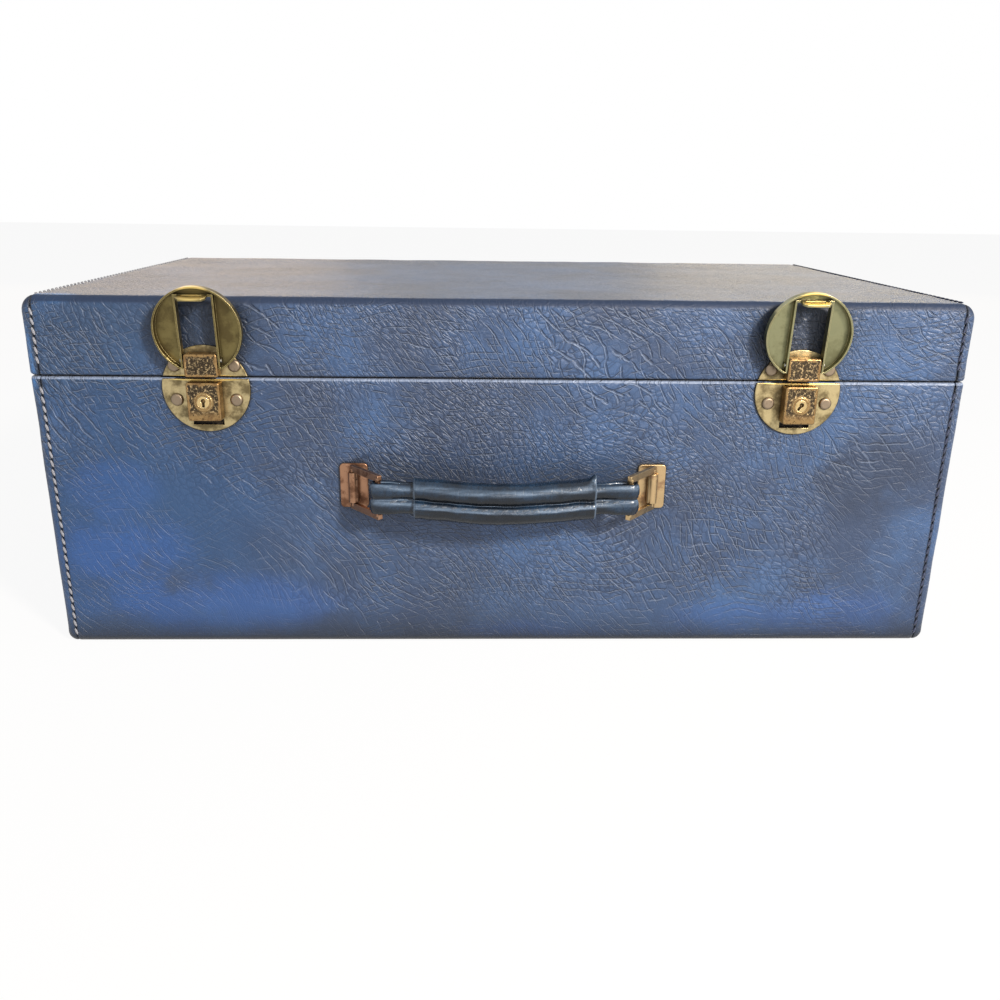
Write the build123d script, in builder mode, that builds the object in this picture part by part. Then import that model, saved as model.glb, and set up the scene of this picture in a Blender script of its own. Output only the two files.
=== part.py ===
from build123d import *
import math
import os

os.makedirs("parts", exist_ok=True)

# Driving dimensions, in millimetres. X runs along the case, -Y is its front and +Z is up.
# The origin is the middle of the face that the case stands on.

# Board box in two halves, covered with leather outside and lined inside
case_width = 460.0
case_depth = 266.0
base_height = 142.5
lid_height = 38.5
seam_gap = 0.5
board_thickness = 6.0
leather_thickness = 1.2
lining_thickness = 0.6
lid_corner_radius = 8.0
base_corner_radius = 5.5
edge_radius = 4.5
rim_radius = 0.9
turn_in = 8.0
end_band = 5.6
bottom_fold = 6.0

# Round latch plates, one half on the lid and one half on the base
latch_inset = 85.0
plate_radius = 21.2
plate_drop = 5.5
plate_gap = 1.4
plate_thickness = 1.0
plate_edge_radius = 0.4
latch_rivet_offset = 14.3
hasp_rivet_rise = 5.9
lock_rivet_drop = 10.9
latch_rivet_radius = 3.1
latch_rivet_dome = 1.3
rivet_shank_radius = 1.4
rivet_hole_clearance = 0.1

# Pressed boxes on the plates: the hasp's bracket above the seam and the lock's housing below it
box_width = 16.0
box_rise = 6.4
box_wall = 0.8
box_corner_radius = 1.2
box_face_radius = 0.7
bracket_start = 1.2
bracket_height = 11.1
housing_start = 1.4
housing_height = 18.8

# Hasp: a dished disc with a window that drops over both boxes
pivot_rise = 9.0
pivot_standoff = 5.4
hasp_pin_radius = 1.0
hasp_pin_proud = 0.7
hasp_radius = 20.8
hasp_skin = 0.9
hasp_flange = 0.8
hasp_depth = 4.1
hasp_skin_rise = 2.3
hasp_tail = 3.6
hasp_edge_radius = 0.5
hasp_side_clearance = 0.4
hasp_open_angle = 174.0
pin_clearance = 0.08
tab_swing_radius = 31.2
tab_thickness = 1.0
tab_width = 13.7
tab_tip_chamfer = 1.6
tab_depth = 7.4
tab_hole_width = 9.2
tab_hole_height = 1.8
tab_slot_clearance = 0.7

# Lock: a turning plug with a keyhole, whose driver slides a bolt through the hasp's tab
plug_radius = 2.85
plug_proud = 0.5
plug_clearance = 0.1
plug_collar_radius = 4.0
plug_collar = 2.4
plug_collar_clearance = 0.2
journal_radius = 1.5
boss_width = 1.2
boss_height = 0.45
driver_radius = 0.6
driver_throw = 2.83
driver_clearance = 0.15
keyhole_radius = 1.15
keyhole_slot_width = 1.3
keyhole_slot_length = 3.0
keyhole_depth = 2.6
right_key_turn = 35.0
bolt_thickness = 1.2
bolt_standoff = 0.3
bolt_half_width = 5.0
bolt_tongue_half_width = 4.0
bolt_top = 6.8
bolt_shoulder = 4.4
bolt_tip = 8.4
bolt_clearance = 0.2

# Handle: two plates with barrels, two swinging rings, a strap and a grip sleeve
handle_spacing = 150.4
handle_height = 88.2
mount_width = 14.0
mount_height = 23.0
mount_thickness = 1.4
mount_corner_radius = 2.0
barrel_radius = 2.6
barrel_length = 15.4
barrel_standoff = 3.8
ring_reach = 21.5
ring_height = 22.6
ring_arm_height = 3.2
ring_arm_thickness = 2.2
ring_end = 1.6
ring_bar_radius = 1.4
ring_clearance = 0.1
ring_open_angle = 50.0
ring_folded_angle = 20.0
tang_offset = 5.2
tang_width = 2.2
tang_length = 8.0
clinch_thickness = 1.0
clinch_width = 16.0
clinch_height = 18.0
strap_height = 15.6
strap_leather = 2.0
strap_edge_radius = 3.2
strap_slack = 0.7
grip_length = 88.0
grip_bow = 3.6
roll_radius = 5.9
roll_offset = 4.7
roll_valley = 4.9

# Hinges on the back
hinge_inset = 85.0
hinge_width = 40.0
hinge_leaf_height = 18.0
hinge_leaf_thickness = 1.2
hinge_leaf_radius = 2.0
knuckle_radius = 2.5
knuckle_clearance = 0.35
knuckle_gap = 0.3
hinge_pin_radius = 1.2
hinge_pin_head = 0.8
hinge_rivet_radius = 2.4
hinge_rivet_dome = 1.0
hinge_rivet_spacing = 14.0
hinge_rivet_height = 11.0
knuckle_count = 5

# Slotted stays that stop the lid
stay_radius = 62.0
stay_rise = 12.0
lid_open_angle = 100.0
stay_width = 9.0
stay_thickness = 1.5
stay_play = 0.15
stud_radius = 2.0
stud_flange_radius = 4.4
stud_flange = 1.0
stud_head_radius = 4.0
stud_head = 1.2
stud_screw_radius = 1.4
stud_screw_length = 4.5

# Places worked out from the sizes above
case_height = base_height + lid_height
base_rim = base_height - seam_gap / 2
lid_rim = base_height + seam_gap / 2
cavity_x = case_width / 2 - leather_thickness - board_thickness
cavity_y = case_depth / 2 - leather_thickness - board_thickness
floor_top = leather_thickness + board_thickness
ceiling = case_height - leather_thickness - board_thickness
band_x = case_width / 2 - end_band
latch_x = case_width / 2 - latch_inset
hinge_x = case_width / 2 - hinge_inset
hinge_y = case_depth / 2 + knuckle_radius + knuckle_clearance
rivet_hole_radius = rivet_shank_radius + rivet_hole_clearance
sides = {"left": -1, "right": 1}


def front_plane(standoff=0.0):
    """The plane of the front leather, moved out by standoff. Its own X is X and its own Y is Z."""
    return Plane.XZ.offset(case_depth / 2 + standoff)


def block(x, y, z):
    """A block between a low and a high value on each axis."""
    with BuildPart() as piece:
        with Locations(((x[0] + x[1]) / 2, (y[0] + y[1]) / 2, (z[0] + z[1]) / 2)):
            Box(x[1] - x[0], y[1] - y[0], z[1] - z[0])
    return piece.part


def save(builder, name):
    """Labels a finished piece and writes it under its own name."""
    builder.part.label = name
    export_step(builder.part, f"parts/{name}.step")


def half_form(inset, low, high, corner_radius, corners_at_top):
    """One half of the case as a plain block, inset all round, with its end corners and face edges rounded."""
    with BuildPart() as form:
        with BuildSketch(front_plane(-inset)):
            with Locations((0, (low + high) / 2)):
                Rectangle(case_width - 2 * inset, high - low)
            by_height = vertices().sort_by(Axis.Y)
            fillet(by_height[2:] if corners_at_top else by_height[:2], corner_radius - inset)
        extrude(amount=-(case_depth - 2 * inset))
        rim = low if corners_at_top else high
        face_edges = faces().filter_by(Axis.Y).edges()
        fillet(face_edges.filter_by(lambda edge: abs(edge.center().Z - rim) > rim_radius / 2), edge_radius - inset)
    return form.part


def base_form(inset):
    """The base's outer form: it stands on the floor, and its rim is just under the seam."""
    return half_form(inset, inset, base_rim - inset, base_corner_radius, False)


def lid_form(inset):
    """The lid's outer form: its rim is just over the seam."""
    return half_form(inset, lid_rim + inset, case_height - inset, lid_corner_radius, True)


def leather_cover(form, rim, inward):
    """All the leather of one half: the skin, the cap over the boards' rim and the turned-in edge."""
    with BuildPart() as cover:
        add(form(0))
        fillet(edges().filter_by(lambda edge: abs(edge.center().Z - rim) < seam_gap / 2), rim_radius)
        add(form(leather_thickness), mode=Mode.SUBTRACT)
        with Locations((0, 0, rim)):
            Box(2 * cavity_x, 2 * cavity_y, 3 * leather_thickness, mode=Mode.SUBTRACT)
        with BuildSketch(Plane.XY.offset(rim)):
            Rectangle(2 * cavity_x, 2 * cavity_y)
            Rectangle(2 * (cavity_x - lining_thickness), 2 * (cavity_y - lining_thickness), mode=Mode.SUBTRACT)
        extrude(amount=inward * (leather_thickness + turn_in))
    return cover.part


def end_zone(side, rim, inward):
    """The space that an end panel's leather fills: the end, its band on the faces and its own part of the rim."""
    inner_x = cavity_x - lining_thickness
    inner_y = cavity_y - lining_thickness
    far_x = case_width / 2 + end_band
    with BuildPart() as zone:
        add(block(sorted((side * band_x, side * far_x)), (-case_depth, case_depth), (-case_height, 2 * case_height)))
        rim_span = sorted((rim - inward * rim_radius, rim + inward * (leather_thickness + turn_in + rim_radius)))
        add(block(sorted((side * inner_x, side * (band_x + rim_radius))), (-inner_y, inner_y), rim_span))
    return zone.part


def shank_tools(points, plane, depth):
    """Clearance holes for rivets or screws at points on a plane, through depth of the wall behind it."""
    with BuildPart() as tools:
        with BuildSketch(plane):
            with Locations(*points):
                Circle(rivet_hole_radius)
        extrude(amount=depth)
    return tools.part


# Where the fasteners go, as X and Z
lock_rivets_at = [(side * latch_x + offset, base_height - lock_rivet_drop)
                  for side in sides.values() for offset in (-latch_rivet_offset, latch_rivet_offset)]
hasp_rivets_at = [(side * latch_x + offset, base_height + hasp_rivet_rise)
                  for side in sides.values() for offset in (-latch_rivet_offset, latch_rivet_offset)]
hinge_rivet_xs = [side * hinge_x + offset
                  for side in sides.values() for offset in (-hinge_rivet_spacing, 0, hinge_rivet_spacing)]
base_hinge_rivets_at = [(x, base_height - hinge_rivet_height) for x in hinge_rivet_xs]
lid_hinge_rivets_at = [(x, base_height + hinge_rivet_height) for x in hinge_rivet_xs]
tangs_at = [(side * handle_spacing / 2 + offset, handle_height)
            for side in sides.values() for offset in (-tang_offset, tang_offset)]
wall = leather_thickness + board_thickness
back_plane = Plane.XZ.offset(-case_depth / 2)

# The stay's two pins lie on one circle round the hinge, so the arm turns at exactly half the lid's rate
stay_angle = math.degrees(math.asin(stay_rise / stay_radius))
stay_y = hinge_y - stay_radius * math.cos(math.radians(stay_angle))
base_stud_z = base_height - stay_rise
lid_stud_z = base_height + stay_rise
stay_reach = 2 * stay_radius * math.sin(math.radians(stay_angle + lid_open_angle / 2))

# Hasp and lock levels
pivot_y = -case_depth / 2 - pivot_standoff
pivot_z = base_height + pivot_rise
plate_centre_z = base_height - plate_drop
housing_top = base_height - housing_start
housing_bottom = housing_top - housing_height
plug_z = (housing_top + housing_bottom) / 2
bolt_travel = 2 * driver_throw * math.sin(math.radians(45))
window_half = box_width / 2 + hasp_side_clearance
tab_z = pivot_z - tab_swing_radius
tab_slot_low = tab_z - tab_thickness / 2 - tab_slot_clearance
tab_slot_high = pivot_z - math.sqrt(tab_swing_radius**2 - tab_depth**2) + tab_thickness / 2 + tab_slot_clearance / 2
tab_pocket_depth = tab_depth - pivot_standoff + tab_slot_clearance


def tab_pocket(side):
    """The pocket in the front wall that the hasp's tab enters through the lock plate's slot."""
    half = tab_width / 2 + tab_slot_clearance
    y_low = -case_depth / 2 - plate_thickness * 2
    y_high = -case_depth / 2 + tab_pocket_depth
    x = side * latch_x
    return block((x - half, x + half), (y_low, y_high), (tab_slot_low, tab_slot_high))


def tang_tools(clearance):
    """The handle mounts' tangs, which pass through the front wall, grown by clearance all round."""
    with BuildPart() as tools:
        with BuildSketch(front_plane()):
            with Locations(*tangs_at):
                Rectangle(tang_width + 2 * clearance, tang_length + 2 * clearance)
        extrude(amount=-(wall + lining_thickness + clinch_thickness))
    return tools.part


# Leather of the base: a sheet under the floor that folds up the walls, a sheet on each long wall,
# and a panel at each end
base_cover = leather_cover(base_form, base_rim, -1)
with BuildPart() as base_wrap:
    add(base_cover)
    for side in sides.values():
        add(end_zone(side, base_rim, -1), mode=Mode.SUBTRACT)
        add(tab_pocket(side), mode=Mode.SUBTRACT)
    add(shank_tools(lock_rivets_at, front_plane(), -wall), mode=Mode.SUBTRACT)
    add(shank_tools(base_hinge_rivets_at, back_plane, wall), mode=Mode.SUBTRACT)
    add(tang_tools(rivet_hole_clearance), mode=Mode.SUBTRACT)
for name, y_range, z_range in (("bottom", (-case_depth, case_depth), (-bottom_fold, bottom_fold)),
                               ("front", (-case_depth, 0), (bottom_fold, case_height)),
                               ("back", (0, case_depth), (bottom_fold, case_height))):
    with BuildPart() as base_sheet:
        add(base_wrap)
        add(block((-case_width, case_width), y_range, z_range), mode=Mode.INTERSECT)
    save(base_sheet, f"base_{name}_leather")

for name, side in sides.items():
    with BuildPart() as base_end_leather:
        add(base_cover)
        add(end_zone(side, base_rim, -1), mode=Mode.INTERSECT)
    save(base_end_leather, f"base_{name}_end_leather")

# Leather of the lid, cut the same way
lid_cover = leather_cover(lid_form, lid_rim, 1)
with BuildPart() as lid_wrap_leather:
    add(lid_cover)
    for side in sides.values():
        add(end_zone(side, lid_rim, 1), mode=Mode.SUBTRACT)
    add(shank_tools(hasp_rivets_at, front_plane(), -wall), mode=Mode.SUBTRACT)
    add(shank_tools(lid_hinge_rivets_at, back_plane, wall), mode=Mode.SUBTRACT)
save(lid_wrap_leather, "lid_wrap_leather")

for name, side in sides.items():
    with BuildPart() as lid_end_leather:
        add(lid_cover)
        add(end_zone(side, lid_rim, 1), mode=Mode.INTERSECT)
    save(lid_end_leather, f"lid_{name}_end_leather")

# Boards: floor or top over the whole area, front and back full width, ends between them
base_boards = base_form(leather_thickness)
lid_boards = lid_form(leather_thickness)
whole_x = (-case_width / 2, case_width / 2)
whole_y = (-case_depth / 2, case_depth / 2)
base_wall_z = (floor_top, base_height)
lid_wall_z = (base_height, ceiling)

with BuildPart() as base_bottom_board:
    add(base_boards)
    add(block(whole_x, whole_y, (0, floor_top)), mode=Mode.INTERSECT)
save(base_bottom_board, "base_bottom_board")

with BuildPart() as lid_top_board:
    add(lid_boards)
    add(block(whole_x, whole_y, (ceiling, case_height)), mode=Mode.INTERSECT)
save(lid_top_board, "lid_top_board")

with BuildPart() as base_front_board:
    add(base_boards)
    add(block(whole_x, (-case_depth / 2, -cavity_y), base_wall_z), mode=Mode.INTERSECT)
    for side in sides.values():
        add(tab_pocket(side), mode=Mode.SUBTRACT)
    add(shank_tools(lock_rivets_at, front_plane(), -wall), mode=Mode.SUBTRACT)
    add(tang_tools(rivet_hole_clearance), mode=Mode.SUBTRACT)
save(base_front_board, "base_front_board")

with BuildPart() as base_back_board:
    add(base_boards)
    add(block(whole_x, (cavity_y, case_depth / 2), base_wall_z), mode=Mode.INTERSECT)
    add(shank_tools(base_hinge_rivets_at, back_plane, wall), mode=Mode.SUBTRACT)
save(base_back_board, "base_back_board")

with BuildPart() as lid_front_board:
    add(lid_boards)
    add(block(whole_x, (-case_depth / 2, -cavity_y), lid_wall_z), mode=Mode.INTERSECT)
    add(shank_tools(hasp_rivets_at, front_plane(), -wall), mode=Mode.SUBTRACT)
save(lid_front_board, "lid_front_board")

with BuildPart() as lid_back_board:
    add(lid_boards)
    add(block(whole_x, (cavity_y, case_depth / 2), lid_wall_z), mode=Mode.INTERSECT)
    add(shank_tools(lid_hinge_rivets_at, back_plane, wall), mode=Mode.SUBTRACT)
save(lid_back_board, "lid_back_board")


def stud_hole(side, z):
    """The hole that a stay stud's screw makes in the lining and the end board."""
    with BuildPart() as tool:
        with BuildSketch(Plane.YZ.offset(side * (cavity_x - lining_thickness))):
            with Locations((stay_y, z)):
                Circle(stud_screw_radius + rivet_hole_clearance)
        extrude(amount=side * (lining_thickness + stud_screw_length))
    return tool.part


for name, side in sides.items():
    end_x = sorted((side * cavity_x, side * case_width / 2))
    with BuildPart() as base_end_board:
        add(base_boards)
        add(block(end_x, (-cavity_y, cavity_y), base_wall_z), mode=Mode.INTERSECT)
        add(stud_hole(side, base_stud_z), mode=Mode.SUBTRACT)
    save(base_end_board, f"base_{name}_board")
    with BuildPart() as lid_end_board:
        add(lid_boards)
        add(block(end_x, (-cavity_y, cavity_y), lid_wall_z), mode=Mode.INTERSECT)
        add(stud_hole(side, lid_stud_z), mode=Mode.SUBTRACT)
    save(lid_end_board, f"lid_{name}_board")

# Linings: open trays of cloth-covered card inside the boards, up to the turned-in leather
base_lining_rim = base_rim - leather_thickness - turn_in
lid_lining_rim = lid_rim + leather_thickness + turn_in
lining_x = (-cavity_x, cavity_x)
lining_y = (-cavity_y, cavity_y)
inside_x = (lining_thickness - cavity_x, cavity_x - lining_thickness)
inside_y = (lining_thickness - cavity_y, cavity_y - lining_thickness)
with BuildPart() as base_lining:
    add(block(lining_x, lining_y, (floor_top, base_lining_rim)))
    add(block(inside_x, inside_y, (floor_top + lining_thickness, base_height)), mode=Mode.SUBTRACT)
    for side in sides.values():
        add(stud_hole(side, base_stud_z), mode=Mode.SUBTRACT)
    add(tang_tools(rivet_hole_clearance), mode=Mode.SUBTRACT)
save(base_lining, "base_lining")

with BuildPart() as lid_lining:
    add(block(lining_x, lining_y, (lid_lining_rim, ceiling)))
    add(block(inside_x, inside_y, (base_height, ceiling - lining_thickness)), mode=Mode.SUBTRACT)
    for side in sides.values():
        add(stud_hole(side, lid_stud_z), mode=Mode.SUBTRACT)
save(lid_lining, "lid_lining")


def rivets(points, plane, outward, seat, head_radius, dome):
    """Round-headed rivets: a domed head seated on hardware of thickness seat, and a shank through the wall."""
    with BuildPart() as group:
        with BuildSketch(plane.offset(outward * seat)):
            with Locations(*points):
                Circle(head_radius)
        extrude(amount=outward * dome)
        head_y = plane.offset(outward * (seat + dome)).origin.Y
        rims = edges().filter_by(lambda edge: abs(edge.center().Y - head_y) < dome / 4)
        fillet(rims, dome * 0.92)
        with BuildSketch(plane.offset(outward * seat)):
            with Locations(*points):
                Circle(rivet_shank_radius)
        extrude(amount=-outward * (seat + wall))
    return group


save(rivets(lock_rivets_at, front_plane(), 1, plate_thickness, latch_rivet_radius, latch_rivet_dome), "lock_rivets")
save(rivets(hasp_rivets_at, front_plane(), 1, plate_thickness, latch_rivet_radius, latch_rivet_dome), "hasp_rivets")
for name, points in (("base_hinge_rivets", base_hinge_rivets_at), ("lid_hinge_rivets", lid_hinge_rivets_at)):
    save(rivets(points, back_plane, -1, hinge_leaf_thickness, hinge_rivet_radius, hinge_rivet_dome), name)


def plate_segment(x, z_range):
    """The part of a round latch plate between two levels, on the front leather, with eased outer edges."""
    low, high = z_range
    with BuildPart() as segment:
        with BuildSketch(front_plane()):
            with Locations((x, plate_centre_z)):
                Circle(plate_radius)
            with Locations((x, (low + high) / 2)):
                Rectangle(3 * plate_radius, high - low, mode=Mode.INTERSECT)
        extrude(amount=plate_thickness)
        fillet(faces().sort_by(Axis.Y)[0].edges(), plate_edge_radius)
    return segment.part


def pressed_box(x, low, high):
    """A pressed box on a plate, open at its back, with rounded corners and face edges."""
    with BuildPart() as box:
        with BuildSketch(front_plane(plate_thickness)):
            with Locations((x, (low + high) / 2)):
                Rectangle(box_width, high - low)
            fillet(vertices(), box_corner_radius)
        extrude(amount=box_rise)
        fillet(faces().sort_by(Axis.Y)[0].edges(), box_face_radius)
        with BuildSketch(front_plane(plate_thickness)):
            with Locations((x, (low + high) / 2)):
                Rectangle(box_width - 2 * box_wall, high - low - 2 * box_wall)
        extrude(amount=box_rise - box_wall, mode=Mode.SUBTRACT)
    return box.part


def cross_bore(x, radius, half_length):
    """A bar along X through the hasp's pivot."""
    with BuildPart() as bar:
        with BuildSketch(Plane(origin=(x - half_length, pivot_y, pivot_z), z_dir=(1, 0, 0))):
            Circle(radius)
        extrude(amount=2 * half_length)
    return bar.part


box_front = plate_thickness + box_rise
plug_face = box_front + plug_proud
collar_top = box_front - box_wall - plug_collar_clearance
collar_back = collar_top - plug_collar
bolt_back = plate_thickness + bolt_standoff
flange_outer = window_half + hasp_flange

for name, side in sides.items():
    x = side * latch_x
    upper = (base_height + plate_gap / 2, plate_centre_z + 2 * plate_radius)
    lower = (plate_centre_z - 2 * plate_radius, base_height - plate_gap / 2)
    latch_rivet_holes = shank_tools(lock_rivets_at + hasp_rivets_at, front_plane(), plate_thickness)

    # Hasp side, on the lid
    with BuildPart() as hasp_plate:
        add(plate_segment(x, upper))
        add(latch_rivet_holes, mode=Mode.SUBTRACT)
    save(hasp_plate, f"{name}_hasp_plate")

    with BuildPart() as hasp_bracket:
        add(pressed_box(x, base_height + bracket_start, base_height + bracket_start + bracket_height))
        add(cross_bore(x, hasp_pin_radius, box_width), mode=Mode.SUBTRACT)
    save(hasp_bracket, f"{name}_hasp_bracket")

    with BuildPart() as hasp_pin:
        add(cross_bore(x, hasp_pin_radius, flange_outer + hasp_pin_proud))
        fillet(edges(), hasp_pin_radius / 4)
    save(hasp_pin, f"{name}_hasp_pin")

    # The hasp is drawn in its own plane: its X is X, its Y runs from the far edge to the tail, and
    # its Z points out of the skin when it is closed. Here it stands open, turned up over its pin.
    opened = math.radians(hasp_open_angle)
    hasp_plane = Plane(origin=(x, pivot_y, pivot_z), x_dir=(1, 0, 0), z_dir=(0, -math.cos(opened), math.sin(opened)))
    hasp_side_plane = Plane(origin=(x, pivot_y, pivot_z), x_dir=hasp_plane.y_dir, z_dir=(1, 0, 0))
    disc_y = plate_centre_z - pivot_z
    window_end = tab_thickness / 2 - tab_swing_radius
    strip_end = -tab_thickness / 2 - tab_swing_radius
    with BuildPart() as hasp:
        with BuildSketch(hasp_plane.offset(hasp_skin_rise - hasp_depth)):
            with Locations((0, disc_y)):
                Circle(hasp_radius)
            with Locations((0, hasp_tail + hasp_radius)):
                Rectangle(3 * hasp_radius, 2 * hasp_radius, mode=Mode.SUBTRACT)
        extrude(amount=hasp_depth)
        outer_edges = edges().filter_by(GeomType.CIRCLE).filter_by(
            lambda edge: hasp_plane.to_local_coords(edge.center()).Z > 0)
        fillet(outer_edges, hasp_edge_radius)
        with BuildSketch(hasp_plane.offset(hasp_skin_rise - hasp_depth)):
            with Locations((0, (window_end + hasp_radius) / 2)):
                Rectangle(2 * window_half, hasp_radius - window_end)
        extrude(amount=hasp_depth, mode=Mode.SUBTRACT)
        with BuildSketch(hasp_plane.offset(hasp_skin_rise - hasp_depth)):
            with Locations((0, disc_y)):
                Circle(hasp_radius - hasp_flange)
            with Locations((0, (strip_end + hasp_radius) / 2)):
                Rectangle(2 * flange_outer, hasp_radius - strip_end, mode=Mode.SUBTRACT)
        extrude(amount=hasp_depth - hasp_skin, mode=Mode.SUBTRACT)
        with BuildSketch(hasp_side_plane.offset(-tab_width / 2)):
            Circle(tab_swing_radius + tab_thickness / 2)
            Circle(tab_swing_radius - tab_thickness / 2, mode=Mode.SUBTRACT)
            with Locations((-tab_swing_radius, (hasp_skin_rise - hasp_skin / 2 - tab_depth) / 2)):
                Rectangle(6 * tab_thickness, hasp_skin_rise - hasp_skin / 2 + tab_depth, mode=Mode.INTERSECT)
        extrude(amount=tab_width)
        tip_edges = edges().filter_by(
            lambda edge: hasp_plane.to_local_coords(edge.center()).Z < 0.1 - tab_depth
            and abs(abs(edge.center().X - x) - tab_width / 2) < 0.1)
        chamfer(tip_edges, tab_tip_chamfer)
        hole_z = plate_thickness + bolt_standoff + bolt_thickness / 2 - pivot_standoff
        with BuildSketch(hasp_plane.offset(hole_z - tab_hole_height / 2)):
            with Locations((0, -tab_swing_radius)):
                Rectangle(tab_hole_width, 4 * tab_thickness)
        extrude(amount=tab_hole_height, mode=Mode.SUBTRACT)
        add(cross_bore(x, hasp_pin_radius + pin_clearance, flange_outer), mode=Mode.SUBTRACT)
    save(hasp, f"{name}_hasp")

    # Lock side, on the base
    with BuildPart() as lock_plate:
        add(plate_segment(x, lower))
        add(latch_rivet_holes, mode=Mode.SUBTRACT)
        add(tab_pocket(side), mode=Mode.SUBTRACT)
        with BuildSketch(front_plane()):
            with Locations((x, plug_z)):
                Circle(journal_radius + plug_clearance)
        extrude(amount=plate_thickness, mode=Mode.SUBTRACT)
    save(lock_plate, f"{name}_lock_plate")

    with BuildPart() as lock_housing:
        add(pressed_box(x, housing_bottom, housing_top))
        with BuildSketch(front_plane(box_front)):
            with Locations((x, plug_z)):
                Circle(plug_radius + plug_clearance + boss_width)
        extrude(amount=boss_height)
        with BuildSketch(front_plane(box_front + boss_height)):
            with Locations((x, plug_z)):
                Circle(plug_radius + plug_clearance)
        extrude(amount=-(boss_height + box_wall), mode=Mode.SUBTRACT)
        bolt_way = bolt_tongue_half_width + bolt_clearance
        bolt_way_y = (-case_depth / 2 - bolt_back - bolt_thickness - bolt_clearance, -case_depth / 2)
        add(block((x - bolt_way, x + bolt_way), bolt_way_y, (housing_bottom - box_wall, housing_bottom + 2 * box_wall)),
            mode=Mode.SUBTRACT)
    save(lock_housing, f"{name}_lock_housing")

    # The right plug stands part turned, so its keyhole leans and its bolt has started down
    turned = right_key_turn if side > 0 else 0.0
    plug_x_dir = (math.cos(math.radians(turned)), 0, -math.sin(math.radians(turned)))
    plug_plane = Plane(origin=(x, -case_depth / 2, plug_z), x_dir=plug_x_dir, z_dir=(0, -1, 0))
    driver_at = Location((driver_throw * math.cos(math.radians(45)), driver_throw * math.sin(math.radians(45))))
    with BuildPart() as lock_plug:
        with BuildSketch(plug_plane.offset(collar_back)):
            Circle(plug_radius)
        extrude(amount=plug_face - collar_back)
        with BuildSketch(plug_plane.offset(collar_back)):
            Circle(plug_collar_radius)
        extrude(amount=plug_collar)
        with BuildSketch(plug_plane.offset(collar_back)):
            Circle(journal_radius)
        extrude(amount=-(collar_back - plug_clearance))
        with BuildSketch(plug_plane.offset(collar_back)):
            with Locations(driver_at):
                Circle(driver_radius)
        extrude(amount=-(collar_back - bolt_back - plug_clearance))
        with BuildSketch(plug_plane.offset(plug_face)):
            with Locations((0, keyhole_radius / 2)):
                Circle(keyhole_radius)
            with Locations((0, keyhole_radius / 2 - keyhole_slot_length / 2)):
                Rectangle(keyhole_slot_width, keyhole_slot_length)
        extrude(amount=-keyhole_depth, mode=Mode.SUBTRACT)
    save(lock_plug, f"{name}_lock_plug")

    # The bolt's own origin is the plug's centre when the plug stands upright
    bolt_z = plug_z - bolt_travel * turned / 90
    with BuildPart() as lock_bolt:
        with BuildSketch(front_plane(bolt_back)):
            with Locations((x, bolt_z + (bolt_top - bolt_shoulder) / 2)):
                Rectangle(2 * bolt_half_width, bolt_top + bolt_shoulder)
            with Locations((x, bolt_z - (bolt_shoulder + bolt_tip) / 2)):
                Rectangle(2 * bolt_tongue_half_width, bolt_tip - bolt_shoulder)
            with Locations((x, bolt_z + bolt_travel / 2)):
                Rectangle(2 * (journal_radius + driver_clearance),
                          bolt_travel + 2 * (journal_radius + driver_clearance), mode=Mode.SUBTRACT)
            driver_way = driver_throw + driver_radius + driver_clearance
            with Locations((x + driver_way / 2, bolt_z + bolt_travel / 2)):
                Rectangle(driver_way, 2 * (driver_radius + driver_clearance), mode=Mode.SUBTRACT)
        extrude(amount=bolt_thickness)
    save(lock_bolt, f"{name}_lock_bolt")

# Handle
folded_gain = ring_reach * (math.cos(math.radians(ring_folded_angle)) - math.cos(math.radians(ring_open_angle)))
strap_bar_x = handle_spacing / 2 - ring_reach * math.cos(math.radians(ring_open_angle))
strap_standoff = barrel_standoff + ring_reach * math.sin(math.radians(ring_open_angle))
eye_half = ring_bar_radius + strap_slack
strap_half_thickness = eye_half + strap_leather
eye_outer = strap_bar_x + eye_half
eye_inner = strap_bar_x - folded_gain - eye_half
strap_end = eye_outer + strap_leather

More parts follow.
